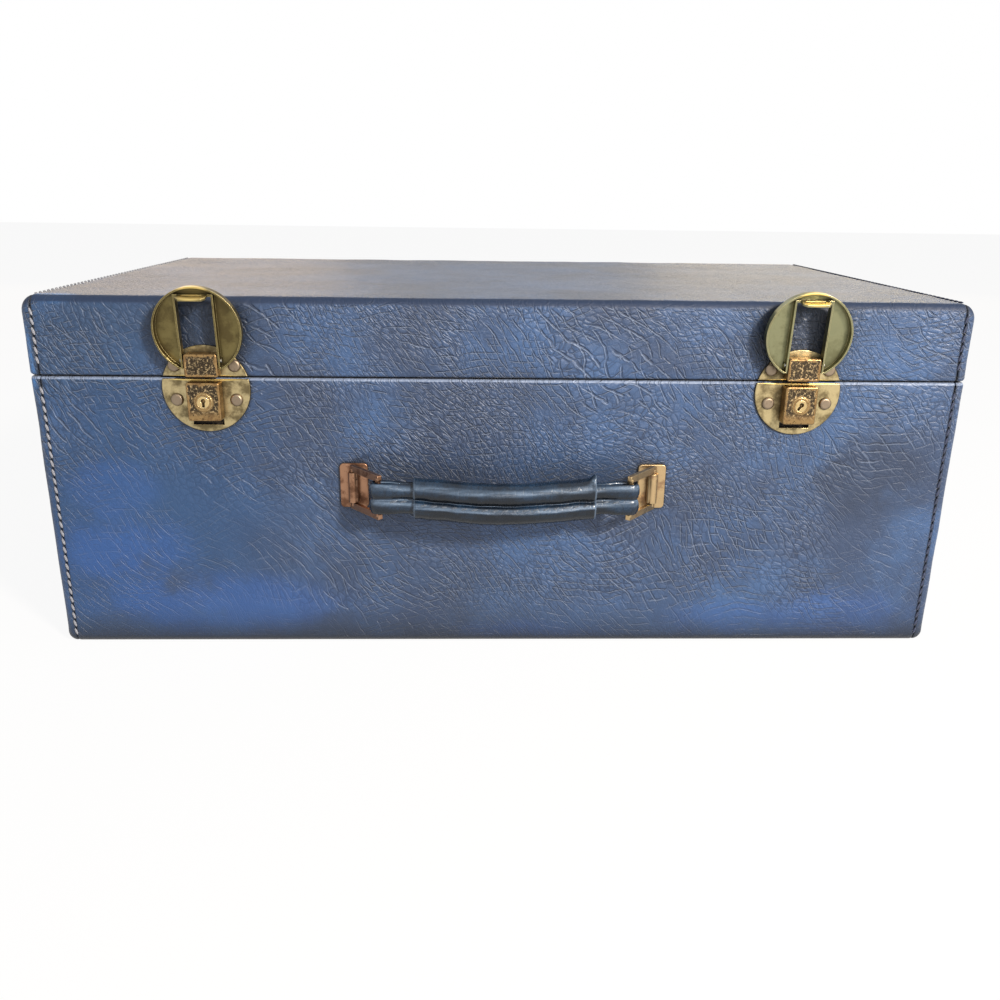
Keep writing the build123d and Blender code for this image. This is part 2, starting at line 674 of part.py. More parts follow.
for name, side in sides.items():
    x = side * handle_spacing / 2
    barrel_y = -case_depth / 2 - barrel_standoff
    with BuildPart() as handle_mount:
        with BuildSketch(front_plane()):
            with Locations((x, handle_height)):
                Rectangle(mount_width, mount_height)
            fillet(vertices(), mount_corner_radius)
        extrude(amount=mount_thickness)
        fillet(faces().sort_by(Axis.Y)[0].edges(), plate_edge_radius)
        with BuildSketch(Plane.XY.offset(handle_height - barrel_length / 2)):
            with Locations((x, barrel_y)):
                Circle(barrel_radius)
            with Locations((x, (barrel_y - case_depth / 2 - mount_thickness / 2) / 2)):
                Rectangle(barrel_radius, barrel_standoff - mount_thickness / 2)
        extrude(amount=barrel_length)
        with BuildSketch(Plane.XY.offset(handle_height - barrel_length / 2)):
            with Locations((x, barrel_y)):
                Circle(ring_bar_radius + ring_clearance)
        extrude(amount=barrel_length, mode=Mode.SUBTRACT)
        with BuildSketch(front_plane()):
            with Locations(*[(at_x, at_z) for at_x, at_z in tangs_at if at_x * side > 0]):
                Rectangle(tang_width, tang_length)
        extrude(amount=-(wall + lining_thickness))
    save(handle_mount, f"{name}_handle_mount")

    swing = math.radians(ring_open_angle)
    ring_plane = Plane(origin=(x, barrel_y, handle_height), x_dir=(-side * math.cos(swing), -math.sin(swing), 0),
                       z_dir=(-math.sin(swing), side * math.cos(swing), 0))
    bar_plane = Plane(origin=(x, barrel_y, handle_height - ring_height / 2 + ring_arm_height / 2),
                      x_dir=ring_plane.x_dir, z_dir=(0, 0, 1))
    with BuildPart() as handle_ring:
        with BuildSketch(ring_plane.offset(-ring_arm_thickness / 2)):
            for level in (-1, 1):
                with Locations((ring_reach / 2, level * (ring_height - ring_arm_height) / 2)):
                    Rectangle(ring_reach + 2 * ring_end, ring_arm_height)
            fillet(vertices(), ring_end / 2)
        extrude(amount=ring_arm_thickness)
        with BuildSketch(bar_plane):
            with Locations((0, 0), (ring_reach, 0)):
                Circle(ring_bar_radius)
        extrude(amount=ring_height - ring_arm_height)
    save(handle_ring, f"{name}_handle_ring")

with BuildPart() as handle_clinch_plates:
    with BuildSketch(front_plane(-(wall + lining_thickness))):
        with Locations(*[(side * handle_spacing / 2, handle_height) for side in sides.values()]):
            Rectangle(clinch_width, clinch_height)
        fillet(vertices(), mount_corner_radius)
    extrude(amount=-clinch_thickness)
save(handle_clinch_plates, "handle_clinch_plates")

grip_half = grip_length / 2
strap_y = -case_depth / 2 - strap_standoff
grip_points = [(-grip_half, strap_y, handle_height), (0, strap_y - grip_bow, handle_height),
               (grip_half, strap_y, handle_height)]
with BuildLine() as grip_path:
    # The grip bows out in its middle
    Spline(grip_points, tangents=((1, 0, 0), (1, 0, 0)))
section_plane = Plane(origin=(-grip_half, strap_y, handle_height), x_dir=(0, -1, 0), z_dir=(1, 0, 0))
with BuildSketch(section_plane) as strap_section:
    Rectangle(2 * strap_half_thickness, strap_height)
    fillet(vertices(), strap_edge_radius)
with BuildPart() as strap_ends:
    for side in sides.values():
        with BuildSketch(Plane(origin=(side * grip_half, strap_y, handle_height), x_dir=(0, -1, 0), z_dir=(1, 0, 0))):
            Rectangle(2 * strap_half_thickness, strap_height)
            fillet(vertices(), strap_edge_radius)
        extrude(amount=side * (strap_end - grip_half))
    with BuildSketch(Plane.XY.offset(handle_height - strap_height / 2)):
        with Locations((0, strap_y)):
            SlotOverall(2 * strap_end, 2 * strap_half_thickness)
    extrude(amount=strap_height, mode=Mode.INTERSECT)
with BuildPart() as handle_strap:
    sweep(strap_section.sketch, path=grip_path.line)
    add(strap_ends)
    with BuildSketch(Plane.XY.offset(handle_height - strap_height / 2)):
        with Locations(*[(side * (eye_inner + eye_outer) / 2, strap_y) for side in sides.values()]):
            SlotOverall(eye_outer - eye_inner, 2 * eye_half)
    extrude(amount=strap_height, mode=Mode.SUBTRACT)
save(handle_strap, "handle_strap")

with BuildPart() as grip_sleeve:
    # Two rolls of leather with a stitched valley between them
    with BuildSketch(section_plane) as roll_section:
        with Locations((0, roll_offset), (0, -roll_offset)):
            Circle(roll_radius)
        Rectangle(2 * roll_valley, 2 * roll_offset)
    sweep(roll_section.sketch, path=grip_path.line)
    sweep(strap_section.sketch, path=grip_path.line, mode=Mode.SUBTRACT)
save(grip_sleeve, "grip_sleeve")

# Hinges
knuckle_pitch = hinge_width / knuckle_count


def knuckle_bars(x, radius, indexes, overlap):
    """Bars round the hinge's axis for some of its knuckles, each longer at both ends by overlap."""
    with BuildPart() as bars:
        for index in indexes:
            start = x - hinge_width / 2 + index * knuckle_pitch - overlap
            with BuildSketch(Plane(origin=(start, hinge_y, base_height), z_dir=(1, 0, 0))):
                Circle(radius)
            extrude(amount=knuckle_pitch + 2 * overlap)
    return bars.part


def hinge_leaf(x, inward, own, other):
    """One leaf on the back leather: its plate, its own knuckles, and room for the other leaf's knuckles."""
    with BuildPart() as leaf:
        with BuildSketch(back_plane):
            with Locations((x, base_height + inward * (hinge_leaf_height + knuckle_gap) / 2)):
                Rectangle(hinge_width, hinge_leaf_height - knuckle_gap)
            far_corners = vertices().sort_by(Axis.Y)
            fillet(far_corners[:2] if inward < 0 else far_corners[2:], hinge_leaf_radius)
        extrude(amount=-hinge_leaf_thickness)
        add(knuckle_bars(x, knuckle_radius, own, -knuckle_gap / 2))
        add(knuckle_bars(x, knuckle_radius + knuckle_clearance, other, knuckle_gap / 2), mode=Mode.SUBTRACT)
        add(knuckle_bars(x, hinge_pin_radius + pin_clearance, range(knuckle_count), knuckle_gap), mode=Mode.SUBTRACT)
        holes = base_hinge_rivets_at if inward < 0 else lid_hinge_rivets_at
        add(shank_tools(holes, back_plane, -hinge_leaf_thickness), mode=Mode.SUBTRACT)
    return leaf


even_knuckles = range(0, knuckle_count, 2)
odd_knuckles = range(1, knuckle_count, 2)
for name, side in sides.items():
    x = side * hinge_x
    save(hinge_leaf(x, -1, even_knuckles, odd_knuckles), f"{name}_hinge_base_leaf")
    save(hinge_leaf(x, 1, odd_knuckles, even_knuckles), f"{name}_hinge_lid_leaf")
    with BuildPart() as hinge_pin:
        add(knuckle_bars(x, hinge_pin_radius, range(knuckle_count), 0))
        for end in (-1, 1):
            with BuildSketch(Plane(origin=(x + end * hinge_width / 2, hinge_y, base_height), z_dir=(end, 0, 0))):
                Circle(knuckle_radius - plate_edge_radius)
            extrude(amount=hinge_pin_head)
    save(hinge_pin, f"{name}_hinge_pin")

# Stays
wall_face = cavity_x - lining_thickness
arm_outer = wall_face - stud_flange - stay_play
slot_start = 2 * stay_rise - stay_play
slot_finish = stay_reach + stay_play
for name, side in sides.items():
    for half, z in (("base", base_stud_z), ("lid", lid_stud_z)):
        with BuildPart() as stay_stud:
            steps = ((wall_face + stud_screw_length, stud_screw_radius, -(stud_screw_length)),
                     (wall_face, stud_flange_radius, -stud_flange),
                     (wall_face - stud_flange, stud_radius, -(stay_thickness + 2 * stay_play)),
                     (wall_face - stud_flange - stay_thickness - 2 * stay_play, stud_head_radius, -stud_head))
            for start, radius, length in steps:
                with BuildSketch(Plane.YZ.offset(side * start)):
                    with Locations((stay_y, z)):
                        Circle(radius)
                extrude(amount=side * length)
        save(stay_stud, f"{name}_stay_{half}_stud")
    with BuildPart() as stay_arm:
        with BuildSketch(Plane.YZ.offset(side * arm_outer)):
            with Locations((stay_y, lid_stud_z - slot_finish / 2)):
                SlotCenterToCenter(slot_finish, stay_width, rotation=90)
            with Locations((stay_y, lid_stud_z)):
                Circle(stud_radius + stay_play, mode=Mode.SUBTRACT)
            with Locations((stay_y, lid_stud_z - (slot_start + slot_finish) / 2)):
                SlotCenterToCenter(slot_finish - slot_start, 2 * (stud_radius + stay_play), rotation=90,
                                   mode=Mode.SUBTRACT)
        extrude(amount=-side * stay_thickness)
    save(stay_arm, f"{name}_stay_arm")
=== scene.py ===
import bpy
import bmesh
import math
from functools import partial
from mathutils import Matrix, Vector, noise


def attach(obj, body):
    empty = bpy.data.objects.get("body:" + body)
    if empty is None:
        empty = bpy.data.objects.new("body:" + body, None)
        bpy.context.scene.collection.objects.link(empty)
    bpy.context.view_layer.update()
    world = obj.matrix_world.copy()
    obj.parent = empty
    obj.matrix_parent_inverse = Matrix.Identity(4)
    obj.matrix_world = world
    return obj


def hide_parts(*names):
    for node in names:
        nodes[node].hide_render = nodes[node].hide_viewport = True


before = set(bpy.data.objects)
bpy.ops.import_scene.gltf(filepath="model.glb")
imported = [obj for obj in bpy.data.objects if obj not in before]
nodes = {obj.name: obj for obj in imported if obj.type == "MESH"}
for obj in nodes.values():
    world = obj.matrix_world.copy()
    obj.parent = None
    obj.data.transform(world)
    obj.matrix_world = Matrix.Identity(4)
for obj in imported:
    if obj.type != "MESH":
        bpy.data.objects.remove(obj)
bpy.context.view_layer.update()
mm = 0.001
seamX = 224.4  # mm, from the case's middle to the seams of its end panels
latchX = 145  # mm, from the case's middle to the middle of each latch
print("frame loaded:", len(nodes), "nodes")


# Camera, where the photographer stood: fitted to the case's corners and edges
cameraSetup = {
    "place": (-16.53, -581.73, 229.05),  # mm
    "pitch": 0.31993, "yaw": 0.03322, "roll": 0.01367,  # radians, looking down, right and tilted
    "focalPixels": 926.94, "imagePixels": 1000, "sensorMm": 36, "nearestMm": 10,
}


def newObject(name, data):
    thing = bpy.data.objects.new(name, data)
    bpy.context.scene.collection.objects.link(thing)
    return thing


def makeCamera(setup):
    data = bpy.data.cameras.new("photoCamera")
    data.sensor_width = setup["sensorMm"]
    data.lens = setup["sensorMm"] * setup["focalPixels"] / setup["imagePixels"]
    data.clip_start = setup["nearestMm"] * mm
    camera = newObject("photoCamera", data)
    cosYaw, sinYaw = math.cos(setup["yaw"]), math.sin(setup["yaw"])
    cosPitch, sinPitch = math.cos(setup["pitch"]), math.sin(setup["pitch"])
    cosRoll, sinRoll = math.cos(setup["roll"]), math.sin(setup["roll"])
    ahead = Vector((sinYaw * cosPitch, cosYaw * cosPitch, -sinPitch))
    right = Vector((cosYaw, -sinYaw, 0))
    up = right.cross(ahead)
    axes = Matrix((cosRoll * right + sinRoll * up, cosRoll * up - sinRoll * right, -ahead)).transposed()
    camera.matrix_world = Matrix.Translation(Vector(setup["place"]) * mm) @ axes.to_4x4()
    bpy.context.scene.camera = camera


makeCamera(cameraSetup)


# Materials: one function turns sRGB hex to linear, one adds a node with its settings and links
def hexColour(code):
    channels = [int(code[i:i + 2], 16) / 255 for i in (1, 3, 5)]
    return [c / 12.92 if c <= 0.04045 else ((c + 0.055) / 1.055) ** 2.4 for c in channels] + [1]


def addNode(tree, kind, inputs=(), output=0, **settings):
    # inputs are in the order of the node's sockets, or by name or number, and one output comes back
    node = tree.nodes.new("ShaderNode" + kind)
    for key, value in settings.items():
        setattr(node, key, value)
    for socket, source in (inputs if isinstance(inputs, dict) else dict(enumerate(inputs))).items():
        target = node.inputs[socket]
        if isinstance(source, bpy.types.NodeSocket):
            tree.links.new(source, target)
        else:
            target.default_value = hexColour(source) if isinstance(source, str) else source
    return node.outputs[output] if node.outputs else None


def newMaterial(name):
    material = bpy.data.materials.new(name)
    material.use_nodes = True
    material.node_tree.nodes.clear()
    return material, partial(addNode, material.node_tree)


eased = {"interpolation_type": "SMOOTHSTEP"}  # a map range that eases in and out
textured = {"vector_type": "TEXTURE"}  # a mapping that is given the pattern's own place, turn and size
times, minus = {"operation": "MULTIPLY"}, {"operation": "SUBTRACT"}


def paint(add, colour, *layers):
    # colours over one another, each with its share
    for share, tint in layers:
        colour = add("Mix", {0: share, 6: colour, 7: tint}, 2, data_type="RGBA")
    return colour


def softSpot(add, place, centre, size):
    # 1 in its middle and 0 at its edge, with its place and reach in millimetres
    local = add("Mapping", {"Vector": place, "Location": [c * mm for c in centre],
                            "Scale": [s * mm for s in size]}, **textured)
    return add("TexGradient", (local,), "Fac", gradient_type="SPHERICAL")


def leaningCells(add, place, size, turn):
    # distance to the edge of irregular cells, of a real size in millimetres, turned about Y to lean on the front
    local = add("Mapping", {"Vector": place, "Rotation": (0, math.radians(turn), 0),
                            "Scale": [s * mm for s in size]}, **textured)
    return add("TexVoronoi", {"Vector": local, "Scale": 1}, feature="DISTANCE_TO_EDGE")


def blotches(add, place, size, *limits, detail=3.0, roughness=0.55):
    # blotches of a real size in millimetres, with a soft edge between the first two limits if there are any
    cloud = add("TexNoise", {"Vector": place, "Scale": 1 / (size * mm), "Detail": detail, "Roughness": roughness})
    return add("MapRange", (cloud, *limits), **eased) if limits else cloud


def fromPlane(add, place, axis, at, folded=False):
    # how far a point is from a plane across an axis, or folded, from a pair of them about the case's middle
    along = add("SeparateXYZ", (place,), axis)
    if folded:
        along = add("Math", (along,), operation="ABSOLUTE")
    return add("Math", (add("Math", (along, at * mm), **minus),), operation="ABSOLUTE")


# Cowhide, drum dyed and plated with a wrinkled grain: its wax gives soft, broken highlights, and its dye has gone
# patchy with age
caseLeather = {
    # the crack colour is painted shade in the grooves and between the grain plates, and the dry crease colour is
    # a painted highlight on the crease lips, the plates' middles and the base's rim
    "dye": "#335079", "deepDye": "#293a57", "paintedHighlight": "#8b9ab5", "creaseShade": "#131d31", "wornBlue": "#4377b4",
    "dyeMm": 55, "dyeEdge": (0.36, 0.66), "raggedMm": 30, "poreMm": 0.8, "roughness": 0.42,
    # folds: distance apart, lean on the front, length of a run, phase, strength, size of the patches they come in
    "folds": [{"apart": 3.4, "turn": 42, "run": 10, "at": 0, "share": 0.9, "patchMm": 60},
              {"apart": 2.7, "turn": 60, "run": 8, "at": 70, "share": 0.8, "patchMm": 45},
              {"apart": 2.4, "turn": -6, "run": 7, "at": 150, "share": 0.95, "patchMm": 34}],
    "bends": [(100, 46), (14, 2.4), (5, 1.0)],  # size and reach of the bends in the folds
    "plateMm": (4.2, 3.0, 2.6), "plateTurn": 34, "platePatchMm": 34, "platePatches": (0.35, 0.62, 0.3),
    "relief": {"fold": 0.5, "pillow": 0.34, "pore": 0.25, "depthMm": 0.72},
    "shade": {"groove": 0.65, "net": 0.6, "lip": 0.38, "pillow": 0.05},
    # the smooth parts of the hide, the share of its wrinkles that they lose, and the least that is left
    "smoothSpots": [((-180, -133, 45), (120, 60, 75)), ((30, -133, -5), (320, 60, 38)),
                    ((215, -133, 60), (60, 60, 70))],
    "smoothing": 0.7, "leastWrinkle": 0.12,
    # marks: centre, size, colour and strength; the first, over the whole left end, is painted shade, and the
    # others are patches in the dye
    "marks": [
        ((-225, -133, 80), (150, 60, 120), "#1a3c64", 0.75), ((-220, -133, 162), (100, 60, 40), "#1f3c5c", 0.5),
        ((0, -133, 30), (60, 60, 26), "#26364f", 0.45), ((-195, -133, 52), (46, 60, 28), "#285499", 0.5),
        ((-150, -133, 22), (90, 60, 24), "#285499", 0.45), ((20, -133, 4), (60, 60, 12), "#285499", 0.35),
        ((185, -133, 16), (50, 60, 20), "#285499", 0.35), ((-196, -133, 86), (30, 60, 20), "#285499", 0.3),
        ((120, -133, 12), (50, 60, 16), "#285499", 0.35), ((188, -133, 94), (46, 60, 34), "#1e2a40", 0.8),
        ((-70, -133, 60), (70, 60, 44), "#2b3c58", 0.5), ((60, -133, 30), (60, 60, 36), "#2b3c58", 0.5)],
    "wornSpots": [((-214, -131, 181), (16, 12, 6)), ((-229, -133, 150), (4, 10, 30))],
    # the top's rounded edges: pressed smooth and glossier, and painted dark as shade standing for their dark
    # reflection
    "burnishAndShade": {"colour": "#051e3c", "share": 0.95, "aboveMm": (168, 172), "relief": 0.25, "roughness": 0.2},
    # a painted highlight along the base's rim
    "rimHighlight": {"z": 141.6, "halfWidth": (0.3, 0.9), "share": 0.7},
    # painted shade near the fittings and under the handle, and dirt along the end seams
    "shadeAndSeamDirt": {"colour": "#0f1724", "reach": 24, "share": 0.95, "seamHalf": (0.5, 1.3), "seamShare": 0.8},
}
wavePeriod = 0.314  # from band to band in a wave texture of scale 1
foldWave = {"tilt": 35, "distortion": 5.5, "bendScale": 0.16, "acrossMm": 9, "spread": 1.3,
            "breaks": (0.44, 0.56), "patches": (0.36, 0.58, 0.1),
            "lines": ((0, 0.09), (0.8, 0.07))}  # phase and width of the groove and of its lip


def foldLines(add, place, fold, rough):
    # creases are narrow troughs of a wandering wave, each with a raised lip, and come and go along their length
    apart = fold["apart"] * mm
    turns = (math.radians(foldWave["tilt"]), math.radians(fold["turn"]), 0)
    local = add("Mapping", {"Vector": place, "Rotation": turns, "Location": [fold["at"] * mm] * 3}, **textured)
    lines = []
    for phase, width in foldWave["lines"]:
        wave = add("TexWave", {"Vector": local, "Scale": wavePeriod / apart, "Distortion": foldWave["distortion"],
                               "Detail": 1.0, "Detail Scale": foldWave["bendScale"], "Detail Roughness": 0.4,
                               "Phase Offset": phase}, "Fac", bands_direction="Z")
        lines.append(add("MapRange", (wave, 0, width, 1, 0), **eased))
    size = (fold["run"] * mm, foldWave["acrossMm"] * mm, foldWave["spread"] * apart)
    runs = add("Mapping", {"Vector": local, "Scale": size}, **textured)
    broken = add("TexNoise", {"Vector": runs, "Scale": 1, "Detail": 2.0})
    broken = add("MapRange", (broken, *foldWave["breaks"]), **eased)
    patches = blotches(add, local, fold["patchMm"], *foldWave["patches"], fold["share"], detail=2.0)
    show = add("Math", (broken, patches), **times)
    show = add("Math", (show, rough), **times)
    return [add("Math", (line, show), **times) for line in lines]


def makeCaseLeather(name, look):
    material, add = newMaterial(name)
    place = add("TexCoord", output="Object")
    warped = place
    for size, reach in look["bends"]:
        wobble = add("TexNoise", {"Vector": place, "Scale": 1 / (size * mm), "Detail": 1.0}, "Color")
        wobble = add("VectorMath", (wobble, (0.5, 0.5, 0.5)), **minus)
        wobble = add("VectorMath", {0: wobble, "Scale": reach * mm}, operation="SCALE")
        warped = add("VectorMath", (warped, wobble), operation="ADD")
    # the hide's belly is wrinkled and its back smooth
    wrinkled = 1.0
    for spot in look["smoothSpots"]:
        smoothed = add("MapRange", (softSpot(add, place, *spot), 0, 0.5, 0, look["smoothing"]), **eased)
        wrinkled = add("Math", (wrinkled, smoothed), **minus)
    wrinkled = add("Math", (wrinkled, look["leastWrinkle"]), operation="MAXIMUM")
    groove, lip = foldLines(add, warped, look["folds"][0], wrinkled)
    for fold in look["folds"][1:]:
        lines = foldLines(add, warped, fold, wrinkled)
        groove, lip = [add("Math", pair, operation="MAXIMUM") for pair in zip((groove, lip), lines)]
    # between the folds the grain breaks into small leaning plates
    edge = leaningCells(add, warped, look["plateMm"], look["plateTurn"])
    plateShow = blotches(add, place, look["platePatchMm"], *look["platePatches"])
    plateShow = add("Math", (plateShow, wrinkled), **times)
    net = add("Math", (add("MapRange", (edge, 0, 0.1, 1, 0), **eased), plateShow), **times)
    pillow = add("Math", (add("MapRange", (edge, 0, 0.3), **eased), plateShow), **times)
    pores = blotches(add, place, look["poreMm"], roughness=0.7)
    # the top's rounded edges are burnished, pressed smooth and glossier, with painted shade that stands for their
    # dark reflection, and the base's rim has a painted highlight
    burnishAndShade, rim = look["burnishAndShade"], look["rimHighlight"]
    upward = add("SeparateXYZ", (add("NewGeometry", output="Normal"),), "Z")
    level = add("SeparateXYZ", (place,), "Z")
    roundedTopEdge = add("Math", [add("MapRange", (upward, *limits), **eased)
                             for limits in ((0.08, 0.45), (0.995, 0.95))], **times)
    high = add("MapRange", (level, *(z * mm for z in burnishAndShade["aboveMm"])), **eased)
    roundedTopEdge = add("Math", (roundedTopEdge, high), **times)
    # a painted highlight in a thin band along the base's rim
    fromRim = fromPlane(add, place, "Z", rim["z"])
    rimHighlight = add("MapRange", (fromRim, *(w * mm for w in rim["halfWidth"]), 1, 0), **eased)
    # dirt stays in the end seams, and painted shade from occlusion darkens the leather round the fittings and
    # under the handle
    shadeAndSeamLook = look["shadeAndSeamDirt"]
    exposed = add("AmbientOcclusion", {"Distance": shadeAndSeamLook["reach"] * mm}, "AO", samples=5)
    shadeAndSeamDirt = add("MapRange", (exposed, 0.95, 0.6, 0, shadeAndSeamLook["share"]), **eased)
    fromSeam = fromPlane(add, place, "X", seamX, folded=True)
    inSeam = add("MapRange", (fromSeam, *(w * mm for w in shadeAndSeamLook["seamHalf"]), shadeAndSeamLook["seamShare"], 0), **eased)
    shadeAndSeamDirt = add("Math", (shadeAndSeamDirt, inSeam), operation="MAXIMUM")
    # relief of folds, plates and pores
    relief = look["relief"]
    height = add("Math", (add("Math", (lip, groove), **minus), relief["fold"]), **times)
    for part, share in ((pillow, relief["pillow"]), (pores, relief["pore"])):
        height = add("Math", (height, add("Math", (part, share), **times)), operation="ADD")
    flattened = add("MapRange", (roundedTopEdge, 0, 1, 1, burnishAndShade["relief"]), **eased)
    height = add("Math", (height, flattened), **times)
    # dye: broad clouds, bright worn blue low on the front, darker marks, and painted shade over the left end
    dyed = blotches(add, place, look["dyeMm"], *look["dyeEdge"], detail=5.0, roughness=0.62)
    colour = paint(add, look["deepDye"], (dyed, look["dye"]))
    ragged = blotches(add, place, look["raggedMm"], detail=4.0, roughness=0.6)
    for centre, size, tint, strength in look["marks"]:
        amount = add("Math", (softSpot(add, place, centre, size),
                              add("MapRange", (ragged, 0.25, 0.6, 0.2, 1), **eased)), **times)
        colour = paint(add, colour, (add("MapRange", (amount, 0, 0.55, 0, strength), **eased), tint))
    # painted shade in the grooves and between the grain plates, and painted highlights on the crease lips and the
    # plates' middles
    shade = {key: add("Math", (line, look["shade"][key]), **times)
             for key, line in (("groove", groove), ("net", net), ("lip", lip), ("pillow", pillow))}
    dark = add("Math", (shade["groove"], shade["net"]), operation="MAXIMUM")
    colour = paint(add, colour, (dark, look["creaseShade"]), (shade["lip"], look["paintedHighlight"]),
                   (shade["pillow"], look["paintedHighlight"]))
    for spot in look["wornSpots"]:
        amount = add("Math", (softSpot(add, place, *spot), ragged), **times)
        colour = paint(add, colour, (add("MapRange", (amount, 0.08, 0.3, 0, 0.75), **eased), look["wornBlue"]))
    colour = paint(add, colour,
                   (add("Math", (roundedTopEdge, burnishAndShade["share"]), **times), burnishAndShade["colour"]),
                   (shadeAndSeamDirt, shadeAndSeamLook["colour"]),
                   (add("Math", (rimHighlight, rim["share"]), **times), look["paintedHighlight"]))
    bump = add("Bump", {"Height": height, "Strength": 1.0, "Distance": relief["depthMm"] * mm})
    rough = add("MapRange", (pores, 0.3, 0.7, look["roughness"] - 0.06, look["roughness"] + 0.1), **eased)
    dull = add("Math", (roundedTopEdge, burnishAndShade["roughness"]), **times)
    rough = add("Math", (rough, dull), operation="ADD")
    add("OutputMaterial", {"Surface": add("BsdfPrincipled", {
        "Base Color": colour, "Roughness": rough, "IOR": 1.5, "Normal": bump,
        "Sheen Weight": 0.08, "Sheen Roughness": 0.4, "Sheen Tint": "#e2d8c4"})})
    return material


# Bridle leather of the grip, waxed and rubbed by hands: darker, smoother, glossy, with fine wrinkles across it
# the rubbed colour is pale rubbed leather and, on the rolls' crowns, a painted highlight; the underside colour is
# painted shade
gripLeather = {"dye": "#172c42", "deepDye": "#0a1420", "rubbed": "#5f7289", "paintedUndersideShade": "#05090f", "dyeMm": 14,
               "wrinkleMm": (3.2, 3.2, 9.0), "wrinkleTurn": 4, "fineMm": 1.2, "streakMm": (16, 1.5, 1.5),
               "depthMm": 0.16, "roughness": 0.2, "edgeX": 43.95}


def makeGripLeather(name, look):
    material, add = newMaterial(name)
    place = add("TexCoord", output="Object")
    edge = leaningCells(add, place, look["wrinkleMm"], look["wrinkleTurn"])
    wrinkle = add("MapRange", (edge, 0, 0.12), **eased)
    fine = blotches(add, place, look["fineMm"], detail=4.0, roughness=0.7)
    # the last layer darkens the wrinkle lines: painted shade in the wrinkles
    colour = paint(add, look["deepDye"],
                   (blotches(add, place, look["dyeMm"], 0.35, 0.65, detail=4.0), look["dye"]),
                   (add("MapRange", (fine, 0.6, 0.78, 0, 0.3), **eased), look["rubbed"]),
                   (add("MapRange", (wrinkle, 0, 1, 0.5, 0), **eased), look["deepDye"]))
    # the rolls' crowns get painted highlights in streaks and their undersides painted shade, and the sleeve's cut
    # ends are pale
    upward = add("SeparateXYZ", (add("NewGeometry", output="Normal"),), "Z")
    streaks = add("Mapping", {"Vector": place, "Scale": [s * mm for s in look["streakMm"]]}, **textured)
    streaks = add("TexNoise", {"Vector": streaks, "Scale": 1, "Detail": 4.0})
    crownHighlight = add("Math", [add("MapRange", (upward, *limits), **eased)
                         for limits in ((0, 0.3), (0.75, 0.4))], **times)
    crownHighlight = add("Math", (crownHighlight, add("MapRange", (streaks, 0.35, 0.62, 0.25, 0.75), **eased)), **times)
    fromEdge = fromPlane(add, place, "X", look["edgeX"], folded=True)
    colour = paint(add, colour, (crownHighlight, look["rubbed"]),
                   (add("MapRange", (upward, 0.1, -0.5, 0, 0.9), **eased), look["paintedUndersideShade"]),
                   (add("MapRange", (fromEdge, 0.2 * mm, 0.8 * mm, 0.5, 0), **eased), look["rubbed"]))
    height = add("Math", (add("Math", (wrinkle, 0.6), **times),
                          add("Math", (fine, 0.5), **times)), operation="ADD")
    bump = add("Bump", {"Height": height, "Strength": 0.4, "Distance": look["depthMm"] * mm})
    rough = add("MapRange", (fine, 0.3, 0.7, look["roughness"], look["roughness"] + 0.14), **eased)
    add("OutputMaterial", {"Surface": add("BsdfPrincipled", {
        "Base Color": colour, "Roughness": rough, "IOR": 1.42, "Normal": bump,
        "Coat Weight": 0.15, "Coat Roughness": 0.12})})
    return material


# Brass sheet, stamped and lacquered: polished where hands rub its edges, tarnished on its faces, with small pits.
# share is how much is tarnished, and specks how much is pitted
plateBrass = {"metal": "#b9a87e", "tarnish": "#6c6045", "pit": "#2a241c", "edge": "#ecd29a", "roughness": 0.4,
              "share": 0.6, "blotchMm": 9, "speckMm": 0.9, "specks": 0.04}
plugBrass = {"metal": "#d8bb84", "tarnish": "#9d8352", "pit": "#3a3025", "edge": "#f0dcae", "roughness": 0.24,
             "share": 0.35, "blotchMm": 5, "speckMm": 0.8, "specks": 0.0}
oliveBrass = {"metal": "#766a44", "tarnish": "#5a4f33", "pit": "#3d3524", "edge": "#cdbb84", "roughness": 0.36,
              "share": 0.5, "blotchMm": 14, "speckMm": 1.6, "specks": 0.03}
greyBrass = {"metal": "#8e8d6c", "tarnish": "#737255", "pit": "#55503a", "edge": "#dccb96", "roughness": 0.36,
             "share": 0.5, "blotchMm": 14, "speckMm": 1.8, "specks": 0.06}
copperyBrass = {"metal": "#a17a60", "tarnish": "#6b4c3a", "pit": "#33241b", "edge": "#dcb598", "roughness": 0.33,
                "share": 0.5, "blotchMm": 7, "speckMm": 1.2, "specks": 0.12}
goldenBrass = {"metal": "#c2a67c", "tarnish": "#94775a", "pit": "#3a2b1e", "edge": "#e8cf9c", "roughness": 0.32,
               "share": 0.4, "blotchMm": 7, "speckMm": 1.2, "specks": 0.08}
rivetBrass = {"metal": "#8d7d6a", "tarnish": "#6d6052", "pit": "#3f352b", "edge": "#b5a48c", "roughness": 0.4,
              "share": 0.4, "blotchMm": 5, "speckMm": 1.5, "specks": 0.03}
hingeBrass = {"metal": "#b8995e", "tarnish": "#7d6438", "pit": "#40351f", "edge": "#dcc288", "roughness": 0.36,
              "share": 0.5, "blotchMm": 8, "speckMm": 1.2, "specks": 0.08}
turnedSteel = {"metal": "#a9a8a2", "tarnish": "#77736a", "pit": "#3c3833", "edge": "#c9c8c2", "roughness": 0.33,
               "share": 0.35, "blotchMm": 6, "speckMm": 1.0, "specks": 0.05}
# edge wear, painted shade in the crevices, pits, and pale spots: rubbed on the hasps' tabs, and a painted
# highlight along the plates' seam edge
metalWearAndLight = {"edgeMm": 0.35, "creviceShadeMm": 2.5, "pitDepthMm": 0.05, "rubbed": "#dcc27a",
             "seamHighlight": (-134, 142.4, (24, 4, 1.9)), "tabSpot": (-149, 185.5, (11, 9, 6))}  # y, z and reach


